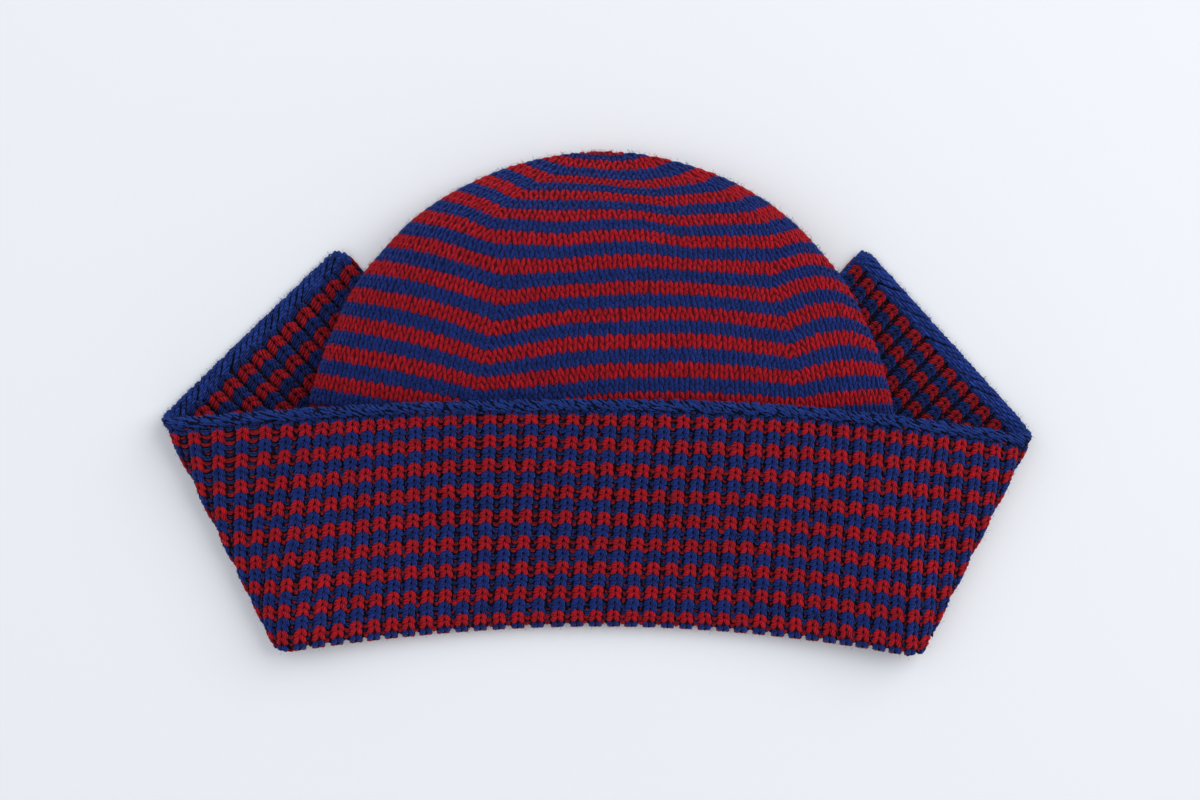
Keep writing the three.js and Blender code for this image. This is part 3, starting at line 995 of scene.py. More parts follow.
@dataclass
class WallPiece(GroundPiece):
    """A closed cloth wall made of two skins over one grid, joined along its open sides.

    Its atlas has the outer skin in the lower half and the inner skin in the upper half. The quads of the
    open sides lie in a row of cells between them.
    """

    margin: float = 0.01
    skin_top: float = 0.47
    inner_shift: float = 0.5
    cell_levels: tuple[float, float] = (0.48, 0.495)
    cell_fill: float = 0.8

    @staticmethod
    def strip(near: Array, far: Array) -> Array:
        """Corner numbers of the quads between two lines of points."""
        return np.stack([near[:-1], near[1:], far[1:], far[:-1]], -1)

    def atlas(self, ids: Array, counts: tuple[int, int]) -> Array:
        """Lay the quads out in the UV map.

        Args:
            ids: Corner numbers, one quad to a line: outer skin, inner skin, open sides.
            counts: Columns and rows of the grid.

        Returns:
            UV place of each corner of each quad.
        """
        skin = map_grid(counts, (self.margin, self.margin), (1 - self.margin, self.skin_top)).reshape(-1, 2)
        atlas = np.concatenate([skin, skin + [0.0, self.inner_shift]])[ids]
        skins = 2 * (counts[0] - 1) * (counts[1] - 1)
        cell = (1 - 2 * self.margin) / (len(ids) - skins)
        left = self.margin + cell * np.arange(len(ids) - skins)
        across = left[:, None] + cell * self.cell_fill * np.array([0, 1, 1, 0])
        levels = np.broadcast_to(np.repeat(self.cell_levels, 2), across.shape)
        atlas[skins:] = np.stack([across, levels], -1)
        return atlas

    def build(self, outer: Array, inner: Array, stripe: Array, knit: Array, material: Material,
              closed: Array, open_end: bool) -> bpy.types.Object:
        """Make the wall.

        Args:
            outer: Outer skin, columns by rows by three.
            inner: Inner skin on the same grid.
            stripe: Stripe number at each grid point.
            knit: Stitch column and row at each grid point.
            material: Material of the wall.
            closed: Whether the first and last column meet, per row.
            open_end: Whether the last row is an open edge.

        Returns:
            The object.
        """
        counts = outer.shape[:2]
        number = np.arange(math.prod(counts)).reshape(counts)
        under = number + number.size
        skin = grid_quads(number)
        quads = [skin, skin[:, [0, 3, 2, 1]] + number.size, self.strip(under[:, 0], number[:, 0])]
        if open_end:
            quads.append(self.strip(number[:, -1], under[:, -1]))
        free = ~(closed[:-1] & closed[1:])
        quads += [self.strip(number[0], under[0])[free], self.strip(under[-1], number[-1])[free]]
        ids = np.concatenate(quads)
        return self.quilt(np.stack([outer, inner]), ids, material, np.stack([knit] * 2),
                          self.atlas(ids, counts), np.stack([stripe] * 2))


@dataclass
class CordPiece(GroundPiece):
    """A round cord: rings along a line, closed to a pole at both ends."""

    margin: tuple[float, float] = (0.01, 0.02)

    def build(self, rings: Array, knit: Array, material: Material) -> bpy.types.Object:
        """Make the cord in blue.

        Args:
            rings: Points, rings by corners by three, the last corner of a ring on its first.
            knit: Pattern place at each point.
            material: Material of the cord.

        Returns:
            The object.
        """
        counts = rings.shape[:2]
        ids = grid_quads(np.arange(math.prod(counts)).reshape(counts))
        atlas = map_grid(counts, self.margin, tuple(1 - edge for edge in self.margin)).reshape(-1, 2)[ids]
        return self.quilt(rings, ids, material, knit, atlas, np.full(counts, BLUE_STRIPE))


@dataclass(frozen=True)
class WoolFinish:
    """Plied sheep's wool, spun and dyed: matt, with a soft sheen of fibre ends and a twist along the yarn.

    A fibre is finer than the render can show, so the fibres are drawn half a millimetre apart.
    """

    name: str
    light: str
    deep: str
    halo: str
    sheen: float = 0.7
    sheen_roughness: float = 0.35
    roughness: float = 0.9
    specular: float = 0.12
    plies: float = 5.0
    ply_turns: float = 0.6
    # Painted shade: how much the colour darkens between the plies; the ply's height is a bump.
    ply_weight: float = 0.4
    ply_height: float = 0.6
    streaks_around: float = 14.0
    streaks_along: float = 2.5
    streaks_apart: float = 37.0
    streak_weight: float = 1.2
    streak_detail: float = 2.0
    fibre_mm: float = 0.5
    fibre_weight: float = 1.1
    fibre_detail: float = 3.0
    # Painted highlight: how much the top of the yarn is drawn lighter and its underside darker.
    crest_weight: float = 0.24
    # Painted shade: how much the ends of the yarn are darkened where they dip into the cloth, and how fast.
    sunk_ends: float = 0.5
    sunk_power: float = 4.0
    tone_weight: float = 0.08
    bump_mm: float = 0.22
    bump_strength: float = 0.8

    def pattern(self, tree: bpy.types.NodeTree) -> tuple[bpy.types.NodeSocket, bpy.types.NodeSocket]:
        """Add the nodes of the yarn's pattern, a weighted sum of its parts.

        The ply is a sine of the turn around the yarn plus its twist: in the colour it is painted shade
        between the plies, in the height a bump. Streaks and fibres are noise. The crest is a sine of the
        turn, a painted highlight on the top of the yarn, and the ends are darkened by a power of the way from
        the middle, painted shade where they dip into the cloth. The tone attribute adds each grain's random
        tone and its piece's painted shade and highlight.

        Args:
            tree: The material's node tree.

        Returns:
            The shade from 0 to 1, and the height of the plies and fibres.
        """
        uv = add_node(tree, "ShaderNodeUVMap", uv_map="Yarn")
        around, along = add_node(tree, "ShaderNodeSeparateXYZ", {0: uv.outputs[0]}).outputs[:2]
        # The tone attribute holds each grain's random tone plus its piece's mean, painted shade on darkened
        # pieces and painted highlight on lightened ones.
        tone = add_node(tree, "ShaderNodeAttribute", attribute_name="tone").outputs["Fac"]
        place = add_node(tree, "ShaderNodeTexCoord")
        fibre = add_node(tree, "ShaderNodeTexNoise", {
            "Vector": place.outputs["Object"], "Scale": 1 / (self.fibre_mm * MM),
            "Detail": self.fibre_detail})
        twisted = add_node(
            tree, MATHS, {0: along, 1: self.ply_turns, 2: around}, operation="MULTIPLY_ADD").outputs[0]
        # The ply's sine darkens the colour between the plies, painted shade in the twist, and raises their
        # bump.
        angle = add_node(tree, MATHS, {0: twisted, 1: TURN * self.plies}, operation="MULTIPLY")
        ply = add_node(tree, MATHS, {0: angle.outputs[0]}, operation="SINE").outputs[0]
        stretched = add_node(tree, "ShaderNodeCombineXYZ")
        stretches = (twisted, self.streaks_around), (along, self.streaks_along), (tone, self.streaks_apart)
        for socket, (value, factor) in enumerate(stretches):
            part = add_node(tree, MATHS, {0: value, 1: factor}, operation="MULTIPLY")
            tree.links.new(part.outputs[0], stretched.inputs[socket])
        streak = add_node(tree, "ShaderNodeTexNoise", {
            "Vector": stretched.outputs[0], "Scale": 1.0, "Detail": self.streak_detail})
        mottle = add_node(
            tree, MATHS, {0: streak.outputs["Fac"], 1: self.streak_weight, 2: -self.streak_weight / 2},
            operation="MULTIPLY_ADD")
        fuzz = add_node(
            tree, MATHS, {0: fibre.outputs["Fac"], 1: self.fibre_weight, 2: mottle.outputs[0]},
            operation="MULTIPLY_ADD")
        # Painted highlight: a sine of the turn around the yarn lightens its top and darkens its underside.
        whole = add_node(tree, MATHS, {0: around, 1: TURN}, operation="MULTIPLY")
        crest_highlight = add_node(tree, MATHS, {0: whole.outputs[0]}, operation="SINE").outputs[0]
        # Painted shade: a power of the way from the middle darkens the ends of the yarn where they dip into
        # the cloth.
        off = add_node(tree, MATHS, {0: along, 1: 2.0, 2: -1.0}, operation="MULTIPLY_ADD")
        ends = add_node(tree, MATHS, {0: off.outputs[0], 1: self.sunk_power}, operation="POWER").outputs[0]
        # The shade adds to the mottle the ply's painted shade, the crest's painted highlight, the ends'
        # painted shade and the tone with its piece's painted shade and highlight.
        shade = fuzz
        weights = ((ply, self.ply_weight), (crest_highlight, self.crest_weight), (ends, -self.sunk_ends),
                   (tone, self.tone_weight))
        for value, weight in weights:
            shade = add_node(
                tree, MATHS, {0: value, 1: weight, 2: shade.outputs[0]}, operation="MULTIPLY_ADD")
        shade.use_clamp = True
        height = add_node(
            tree, MATHS, {0: ply, 1: self.ply_height, 2: fuzz.outputs[0]}, operation="MULTIPLY_ADD")
        return shade.outputs[0], height.outputs[0]

    def material(self) -> Material:
        """Make the material: the shade mixes the deep and the light colour, and the height is a bump.

        Returns:
            The material.
        """
        material = bare_material(self.name)
        tree = material.node_tree
        shade, height = self.pattern(tree)
        colour = add_node(tree, "ShaderNodeMix", {
            0: shade, MIX_FROM: linear(self.deep), MIX_TO: linear(self.light)}, data_type="RGBA")
        bump = add_node(tree, "ShaderNodeBump", {
            "Strength": self.bump_strength, "Distance": self.bump_mm * MM, "Height": height})
        shader = add_node(tree, "ShaderNodeBsdfPrincipled", {
            "Base Color": colour.outputs[MIXED], "Normal": bump.outputs[0], "Roughness": self.roughness,
            "Specular IOR Level": self.specular, "Sheen Weight": self.sheen,
            "Sheen Roughness": self.sheen_roughness, "Sheen Tint": linear(self.halo)})
        add_node(tree, "ShaderNodeOutputMaterial", {0: shader.outputs[0]})
        return material


@dataclass(frozen=True)
class GroundFinish:
    """The back of the knitting, seen between the stitches: the same wools in small humps, in painted shade.
    """

    name: str
    red: str
    blue: str
    roughness: float = 0.95
    specular: float = 0.1
    column_weight: float = 0.4
    bump_mm: float = 0.6
    bump_strength: float = 0.5

    def material(self) -> Material:
        """Make the material: even stripes red, odd ones blue, with one hump to a stitch.

        The humps are a sum of cosines of the stitch column and of the row.

        Returns:
            The material.
        """
        material = bare_material(self.name)
        tree = material.node_tree
        stripe = add_node(tree, "ShaderNodeAttribute", attribute_name="stripe")
        pair = add_node(tree, MATHS, {0: stripe.outputs["Fac"], 1: 2.0}, operation="FLOORED_MODULO")
        odd = add_node(tree, MATHS, {0: pair.outputs[0], 1: 1.0}, operation="GREATER_THAN")
        colour = add_node(tree, "ShaderNodeMix", {
            0: odd.outputs[0], MIX_FROM: linear(self.red), MIX_TO: linear(self.blue)}, data_type="RGBA")
        uv = add_node(tree, "ShaderNodeUVMap", uv_map="Yarn")
        split = add_node(tree, "ShaderNodeSeparateXYZ", {0: uv.outputs[0]})
        waves = []
        for place in split.outputs[:2]:
            angle = add_node(tree, MATHS, {0: place, 1: TURN}, operation="MULTIPLY")
            waves.append(add_node(tree, MATHS, {0: angle.outputs[0]}, operation="COSINE").outputs[0])
        hump = add_node(
            tree, MATHS, {0: waves[0], 1: self.column_weight, 2: waves[1]}, operation="MULTIPLY_ADD")
        bump = add_node(tree, "ShaderNodeBump", {
            "Strength": self.bump_strength, "Distance": self.bump_mm * MM, "Height": hump.outputs[0]})
        shader = add_node(tree, "ShaderNodeBsdfPrincipled", {
            "Base Color": colour.outputs[MIXED], "Normal": bump.outputs[0], "Roughness": self.roughness,
            "Specular IOR Level": self.specular})
        add_node(tree, "ShaderNodeOutputMaterial", {0: shader.outputs[0]})
        return material


@dataclass(frozen=True)
class PaintFinish:
    """Matt paint, rolled on: an even pale colour with no gleam."""

    name: str
    colour: str
    roughness: float = 0.9

    def material(self) -> Material:
        """Make the material: one colour all over.

        Returns:
            The material.
        """
        material = bare_material(self.name)
        tree = material.node_tree
        shader = add_node(tree, "ShaderNodeBsdfPrincipled", {
            "Base Color": linear(self.colour), "Roughness": self.roughness})
        add_node(tree, "ShaderNodeOutputMaterial", {0: shader.outputs[0]})
        return material


@dataclass
class Crown:
    """The striped crown in stocking stitch: a closed wall, with stitches on the sides that show.

    Lengths are millimetres, flat sizes metres. A leg's places and width are shares of a stitch.
    """

    wools: list[Material]
    ground: Material
    form: CrownForm = CrownForm()
    flap: FlapForm = FlapForm()
    field: StripeField = StripeField()
    slot: str = "crown_knit"
    skin_out: float = 0.55
    skin_in: float = 1.2
    wall_rows: int = 74
    upper_columns: int = 31
    lower_columns: int = 23
    brow_foot: float = -5.0
    brow_middle: float = -1.0
    brow_top: float = 2.0
    corner_ease: float = 5.0
    corner_reach: tuple[float, float] = (-93.0, -78.0)
    arch_ribs: tuple[float, float] = (30.4, 36.1)
    field_levels: tuple[float, float] = (-12.0, 103.0)
    covered_foot: float = 2.8
    covered_stripe: float = 5.8
    stitch_width: float = 4.1
    rows_per_stripe: int = 2
    first_row: int = -2
    last_row: int = 45
    edge_step: float = 0.1
    last_edge: float = 22.95
    row_heights: tuple[float, float] = (1.2, 4.2)
    left_leg: tuple[float, float] = (-0.09, -0.41)
    right_leg: tuple[float, float] = (0.13, 0.38)
    reach: float = 0.8
    half_width: float = 0.205
    half_depth: float = 0.75
    axis: float = 0.5
    lift: float = 0.4
    foot_tuck: float = 0.1
    head_tuck: float = 0.5
    unevenness: float = 0.05
    seed_shift: int = 40
    edge_on: float = -0.05
    covered_level: float = -8.0
    end_margin: float = 6.0
    brow_margin: float = 2.0
    fuzz: Fuzz = Fuzz(23000, 41, half_width=0.06)
    flat_size: tuple[float, float] = (0.52, 0.215)
    flat_area: float = 0.078

    def arch_limit(self, sign: float, climb: Array) -> Array:
        """How far around each row of the lower layer reaches before the arched rim.

        The rim follows the seam of the flap's folded end, is eased outwards at the corner, and closes
        below the brow as a quarter of an ellipse.

        Args:
            sign: -1 for the left half, 1 for the right.
            climb: Distance along the outline.

        Returns:
            The greatest place around, 1 where the row runs on to the middle.
        """
        near, far = (self.flap.plan(np.array(sign * rib), np.array(0.0)) for rib in self.arch_ribs)
        slope = (far[0] - near[0]) / (far[1] - near[1])
        level = self.form.level.at(climb)
        ease = self.corner_ease * (1 - smoothstep(level, *self.corner_reach))
        low = np.minimum(level, self.brow_foot)
        reach = sign * (near[0] + slope * (low - near[1])) + ease
        rise = np.clip((level - self.brow_foot) / (self.brow_top - self.brow_foot), 0, 1)
        reach = reach * np.sqrt(1 - rise**2)
        limit = (1 + self.form.way_in(climb, np.full_like(climb, sign), reach)) / 2
        return np.where(level >= self.brow_top, 1.0, limit)

    def wall(self) -> bpy.types.Object:
        """The closed wall: two skins either side of the form.

        Returns:
            The object.
        """
        even = np.linspace(CROWN_CLIMB[0], CROWN_CLIMB[-1], self.wall_rows)
        climbs = np.unique(np.append(even, [self.brow_foot, self.brow_middle, self.brow_top]))
        upper, lower = np.linspace(0, 0.5, self.upper_columns), np.linspace(0.5, 1, self.lower_columns)[1:]
        half = np.concatenate([upper, lower])
        around = np.concatenate([-half[:0:-1], half])
        limit = np.where(around[:, None] < 0, self.arch_limit(-1.0, climbs), self.arch_limit(1.0, climbs))
        places = np.clip(around[:, None], -limit, limit)
        rows = np.broadcast_to(climbs, places.shape)
        middle, normal = self.form.point(places, rows), self.form.normal(places, rows)
        normal[:, -1] = (0, 1, 0)
        outer, inner = middle + normal * self.skin_out, middle - normal * self.skin_in
        closed = self.form.level.at(climbs) >= self.brow_top
        for skin in (outer, inner):
            skin[-1, closed] = skin[0, closed]
        x, y = middle[..., 0], middle[..., 1]
        stripe = self.field.stripe_at(x, np.clip(y, *self.field_levels))
        stripe = np.where(y < self.field_levels[0], (y - self.covered_foot) / self.covered_stripe, stripe)
        turn = np.cumsum(np.linalg.norm(np.diff(middle, axis=0, prepend=middle[:1]), axis=-1), 0)
        knit = np.stack([turn / self.stitch_width, stripe * self.rows_per_stripe], -1)
        piece = WallPiece("crown_wall", "crown", self.slot)
        return piece.build(outer, inner, stripe, knit, self.ground, closed, False)

    def row_legs(self, row: int, panel: Panel) -> Grains:
        """The legs of one row of stitches across one panel, each stitch a V that points to the rim.

        Stitches are spaced evenly along the row. A stitch is as high as the row, which is read from the
        lines a little above and below it.

        Args:
            row: Row number; two rows make a stripe.
            panel: Panel of the crown.

        Returns:
            The grains of the row.
        """
        edge = (row + 0.5) / self.rows_per_stripe
        higher, lower = min(edge + self.edge_step, self.last_edge), edge - self.edge_step
        points, normals = self.field.line(panel, edge)
        apart = self.field.line(panel, higher)[0] - self.field.line(panel, lower)[0]
        run = np.concatenate([[0], np.cumsum(np.linalg.norm(np.diff(points, axis=0), axis=1))])
        count = 2 * max(round(run[-1] / (2 * self.stitch_width)), 1)
        places = (np.arange(count) + 0.5) / count * run[-1]
        centre, normal = read_along(run, points, places), unit(read_along(run, normals, places))
        ahead = read_along(run, np.gradient(points, axis=0), places)
        across = unit(ahead - dot(ahead, normal)[:, None] * normal)
        up = unit(np.cross(normal, across))
        rise = read_along(run, apart, places) / ((higher - edge + self.edge_step) * self.rows_per_stripe)
        height = np.clip(dot(rise, up)[:, None], *self.row_heights)
        width = run[-1] / count
        chance = np.random.default_rng((row + self.seed_shift) * len(Panel) + list(Panel).index(panel))
        uneven = chance.normal(0, self.unevenness, (4, count, 1))
        base = centre + normal * self.axis + across * width * uneven[0] + up * height * uneven[1]
        wool = Wool.BLUE if (row // self.rows_per_stripe) % 2 else Wool.RED
        ones = np.ones(count)
        legs = []
        for foot, head in (self.left_leg, self.right_leg):
            start = base + across * width * (foot + uneven[2] / 2) - up * height * self.reach
            end = base + across * width * (head + uneven[3] / 2) + up * height * self.reach
            legs.append(Grains(
                start - normal * self.foot_tuck, end - normal * self.head_tuck, normal,
                ones * self.half_width * width, ones * self.half_depth, ones * self.lift,
                np.full(count, wool.value)))
        return Grains.join(legs)

    def stitches(self) -> list[bpy.types.Object]:
        """All the stitches that can be seen, as an upper and a lower piece, and the hairs on the upper.

        Returns:
            The three objects.
        """
        rows = range(self.first_row, self.last_row + 1)
        grains = Grains.join([self.row_legs(row, panel) for row in rows for panel in Panel])
        x, y, _ = grains.middle().T
        upward = grains.normal[:, 2] > self.edge_on
        folded_over = np.abs(x) - y > self.form.end_line + self.end_margin
        above = grains.only(upward & (y >= self.covered_level))
        below = grains.only(~upward & ~folded_over & (y >= self.brow_top + self.brow_margin))
        # The hairs get a high mean tone, a painted highlight of fibre ends that catch the light.
        return build_stitches(self.slot, self.wools, (
            ("crown_stitches", above, CROWN_LEG, 3, 0.0), ("crown_stitches_below", below, CROWN_LEG, 4, 0.0),
            ("crown_fuzz", self.fuzz.over(above), HAIR, 31, 3.5)))

    def build(self) -> list[bpy.types.Object]:
        """Make the wall and its stitches.

        Returns:
            The objects, the wall first.
        """
        pieces = [self.wall(), *self.stitches()]
        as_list(pieces[1:])
        return pieces


@dataclass(frozen=True)
class RibColumns:
    """Where the columns of ribbing run on the flap: the form's rib numbers at the rim and the free edge.

    The knitting is stretched unevenly, so the columns are wider in the middle than beside it.
    """

    columns: tuple[float, ...] = (-35, -22, -17, -12, -7, -3, 0, 4, 8, 13, 17, 20, 24, 40)
    at_rim: tuple[float, ...] = (
        -38, -24.1, -19.6, -14.2, -9.1, -4.8, -1.36, 2.85, 7.15, 12.35, 16.2, 19.1, 23.4, 38)
    at_edge: tuple[float, ...] = (
        -38, -24.6, -19.0, -14.3, -9.06, -4.1, -0.45, 3.95, 8.45, 13.95, 18.2, 20.6, 23.9, 38)

    def rib(self, column: Array, up: Array) -> Array:
        """Rib number of a column at a place up the flap: a straight mix between the two edges."""
        rim, edge = (Curve(self.columns, ribs).at(column) for ribs in (self.at_rim, self.at_edge))
        return lerp(rim, edge, np.clip(up, 0, 1))

    def ends(self) -> tuple[float, float]:
        """The first and the last column."""
        return self.columns[0], self.columns[-1]


@dataclass(frozen=True)
class LegShape:
    """Legs of a knit column: places across it as shares of a rib, and lengths as shares of a row.

    Depths, axis, lift and tucks are millimetres.
    """

    wide_out: float
    narrow_out: float
    half_width: float
    reach: float
    half_depth: float = 0.8
    axis: float = 0.55
    lift: float = 0.35
    wide_tuck: float = 0.9
    narrow_tuck: float = 0.0


@dataclass
class Flap:
    """The one-by-one ribbed flap: a closed wavy wall, knit columns on both faces and bars between them.

    Lengths are millimetres, flat sizes metres. Columns and rows are counted, the rows from the free edge.
    """

    wools: list[Material]
    ground: Material
    form: FlapForm = FlapForm()
    ribbing: RibColumns = RibColumns()
    slot: str = "flap_rib"
    skin: float = 0.55
    edge_lap: float = 1.6
    column_step: float = 0.25
    turn_rows: int = 7
    panel_rows: int = 27
    rib_depth: float = 0.8
    rib_depth_at_turn: float = 1.0
    depth_ease: tuple[float, float] = (-0.1, 0.06)
    pitch_step: float = 0.2
    row_marks: tuple[float, ...] = (-2, 0, 32, 34, 35, 36)
    row_marks_middle: tuple[float, ...] = (90.8, 85.6, 3.3, -0.4, -2.4, -6.1)
    row_marks_ends: tuple[float, ...] = (90.8, 85.6, 5.3, 0.2, -2.4, -6.1)
    middle_columns: tuple[float, float] = (4, 12)
    inside_drop: tuple[float, float] = (1.9, 0.8)
    sway: float = 3.4
    sway_at: tuple[float, float] = (-5.2, 11.0)
    sway_spread: tuple[float, float] = (4.0, 8.0)
    rise_of_rows: float = 0.4
    risen_rows: int = 31
    rows_per_stripe: int = 2
    first_row: int = -1
    last_row: int = 35
    last_blue_row: int = 34
    outer_leg: LegShape = LegShape(0.28, 0.05, 0.155, 0.74)
    inner_leg: LegShape = LegShape(0.32, 0.06, 0.165, 0.76)
    turn_leg: LegShape = LegShape(0.21, 0.10, 0.17, 0.6, axis=0.2, wide_tuck=0.3)
    leg_tilt: float = 0.3
    full_pitch: float = 8.0
    outer_squeeze: tuple[float, float] = (0.8, 1.25)
    inner_pitch: float = 7.2
    inner_squeeze: tuple[float, float] = (1.0, 1.2)
    unevenness: float = 0.025
    outer_seed: int = 11
    inner_seed: int = 12
    bar_rows: tuple[float, ...] = (0.75, 1.35, 1.95)
    bar_between: int = 1
    bar_rise: float = 0.8
    inner_bar_rise: float = -0.5
    bar_sag: float = 0.9
    bar_half_width: float = 0.5
    bar_half_depth: float = 0.9
    bar_step: float = 0.3
    bar_facing: float = 0.35
    bar_reach: tuple[float, float] = (0.08, 0.25)
    between_drop: float = 0.35
    between_half_depth: float = 0.5
    between_reach: float = 0.75
    bar_seed: int = 21
    bar_unevenness: float = 0.06
    bar_wander: float = 3.0
    rib_half: float = 2.6
    sight_margin: float = 14.0
    sight_height: float = 11.0
    fuzz: Fuzz = Fuzz(9000, 42)
    flat_size: tuple[float, float] = (0.56, 0.093)

    def up_at(self, length: Array) -> Array:
        """Up at a length in millimetres above the rim's turn, or below 0 around it."""
        whole = np.where(length >= 0, self.form.panel_length, self.form.turn_length)
        return np.clip(length / whole, -1, 1)

    def swayed(self, column: Array, row: Array) -> Array:
        """How far the rows of the outer face ride up: a bell left of the middle, where the cloth is pulled.

        Args:
            column: Column number.
            row: Row number from the free edge.

        Returns:
            Millimetres towards the free edge.
        """
        places = zip((column, row), self.sway_at, self.sway_spread)
        away = [(place - centre) / spread for place, centre, spread in places]
        risen = np.where(row < self.risen_rows, self.rise_of_rows, 0.0)
        return risen + self.sway * np.exp(-(away[0] ** 2 + away[1] ** 2) / 2)

    def row_length(self, column: Array, row: Array, face: Face) -> Array:
        """Length above the rim at a place counted in rows; the rows lie a little closer towards the ends.

        Args:
            column: Column number.
            row: Row number from the free edge, with parts for places between.
            face: Outer or inner face.

        Returns:
            Millimetres above the rim's turn.
        """
        tables = self.row_marks_middle, self.row_marks_ends
        middle, ends = (np.interp(row, self.row_marks, lengths) for lengths in tables)
        shift = self.swayed(column, row) if face is Face.OUTER else -np.where(column < 0, *self.inside_drop)
        return lerp(middle, ends, smoothstep(np.abs(column), *self.middle_columns)) + shift

    def wool_of(self, row: Array) -> Array:
        """Wool of a row: two to a stripe from red at row 0, blue above it, red once more under the rim.

        Args:
            row: Row number from the free edge.

        Returns:
            Values of Wool.
        """
        odd = row // self.rows_per_stripe % len(Wool) == 1
        blue = odd & (row <= self.last_blue_row) | (row == self.last_blue_row) | (row < 0)
        return np.where(blue, Wool.BLUE.value, Wool.RED.value)

    def depth(self, up: Array) -> Array:
        """Depth of the ribs, which eases to another in the turn at the rim."""
        return lerp(self.rib_depth_at_turn, self.rib_depth, smoothstep(up, *self.depth_ease))

    def base(self, column: Array, up: Array) -> Array:
        """Point on the middle of the wall."""
        return self.form.point(self.ribbing.rib(column, up), up)

    def normal(self, column: Array, up: Array) -> Array:
        """Unit normal of the middle of the wall towards the outer face."""
        return self.form.normal(self.ribbing.rib(column, up), up)

    def pitch(self, column: Array, up: Array) -> Array:
        """Width of one column, from a short step to either side.

        Args:
            column: Column number.
            up: Place up the flap.

        Returns:
            Millimetres.
        """
        steps = (-self.pitch_step, self.pitch_step)
        left, right = (np.clip(column + step, *self.ribbing.ends()) for step in steps)
        return np.linalg.norm(self.base(right, up) - self.base(left, up), axis=-1) / (right - left)

    def wall(self) -> bpy.types.Object:
        """The closed wavy wall: a cosine that crests at whole columns, with a skin on each side.

        Returns:
            The object.
        """
        first, last = self.ribbing.ends()
        columns = np.arange(first, last + PROBE, self.column_step)
        ups = np.concatenate([np.linspace(-1, 0, self.turn_rows)[:-1], np.linspace(0, 1, self.panel_rows)])
        column, up = np.meshgrid(columns, ups, indexing="ij")
        middle, normal = self.base(column, up), self.normal(column, up)
        wave = self.depth(up) * np.cos(TURN * column)
        outer, inner = (middle + normal * (wave + sign * self.skin)[..., None] for sign in (1, -1))
        for skin in (outer, inner):
            skin[:, -1] += self.edge_lap * unit(middle[:, -1] - middle[:, -2])
        length = up * np.where(up >= 0, self.form.panel_length, self.form.turn_length)
        downward = -np.array(self.row_marks_middle)
        row = np.interp(-length, downward, self.row_marks)
        row = np.interp(self.swayed(column, row) - length, downward, self.row_marks)
        last_blue = (row > self.last_blue_row) & (row < self.last_blue_row + 1)
        stripe = np.where(row > self.last_blue_row + 1, RED_STRIPE, row / self.rows_per_stripe)
        stripe = np.where((row < 0) | last_blue, BLUE_STRIPE, stripe)
        piece = WallPiece("flap_wall", "flap", self.slot)
        knit = np.stack([column * RIB_STITCHES, row], -1)
        return piece.build(outer, inner, stripe, knit, self.ground, np.zeros(len(ups), bool), True)

    def stitch_grid(self, face: Face) -> tuple[Array, Array]:
        """Where the knit stitches of a face lie; inner columns lie between the outer ones.

        Args:
            face: Which face.

        Returns:
            Column and row of every stitch.
        """
        first, last = self.ribbing.ends()
        columns = np.arange(first + 0.5, last) if face is Face.INNER else np.arange(first, last + 1)
        column, row = np.meshgrid(columns, np.arange(self.first_row, self.last_row + 1), indexing="ij")
        return column.ravel(), row.ravel()

    def leg_size(self, face: Face, pitch: Array) -> Array:
        """How much wider the legs of a column lie, so that outer ones fill less of a wide column.

        Args:
            face: Which face.
            pitch: Width of the column.

        Returns:
            A factor for the legs' places and widths.
        """
        if face is Face.OUTER:
            return np.clip(self.full_pitch / pitch, *self.outer_squeeze)
        return np.clip(pitch / self.inner_pitch, *self.inner_squeeze)

    def legs(self, face: Face) -> Grains:
        """Knit columns of one face: each stitch two legs that meet towards the free edge.

        A leg bulges as far as the wall between its ends does, and is tilted away from the column's middle.

        Args:
            face: Which face.

        Returns:
            The grains of the face.
        """
        column, row = self.stitch_grid(face)
        outer = face is Face.OUTER
        panel_leg, seed = (self.outer_leg, self.outer_seed) if outer else (self.inner_leg, self.inner_seed)
        shapes = zip(astuple(self.turn_leg), astuple(panel_leg))
        leg = LegShape(*(np.where(row >= self.last_blue_row, turned, flat) for turned, flat in shapes))
        rows = (row + 0.5 + part * leg.reach for part in (1, 0, -1))
        low, middle, high = (self.up_at(self.row_length(column, place, face)) for place in rows)
        normal = self.normal(column, middle) * float(face.value)
        ends, pitch = self.ribbing.ends(), self.pitch(column, middle)
        size = self.leg_size(face, pitch)
        uneven = np.random.default_rng(seed).normal(0, self.unevenness, (3, len(column)))
        rise = self.depth(middle) + leg.axis
        grains = []
        for side in (-1.0, 1.0):
            wide = np.clip(column + side * leg.wide_out * size + uneven[0], *ends)
            narrow = np.clip(column + side * leg.narrow_out * size + uneven[1], *ends)
            start = self.base(wide, low) + normal * (rise - leg.wide_tuck)[:, None]
            end = self.base(narrow, high) + normal * (rise - leg.narrow_tuck)[:, None]
            across = np.cross(unit(end - start), normal)
            outward = np.sign(dot(across, start - self.base(column, low)))[:, None]
            tilt = unit(normal + self.leg_tilt * across * outward)
            top = self.base((wide + narrow) / 2, middle) + normal * (rise - leg.wide_tuck / 2)[:, None]
            bulge = np.maximum(dot(top - (start + end) / 2, normal), 0) + leg.lift
            grains.append(Grains(
                start, end, tilt, leg.half_width * pitch * size * (1 + uneven[2]),
                np.ones(len(column)) * leg.half_depth, bulge, self.wool_of(row)))
        return Grains.join(grains)

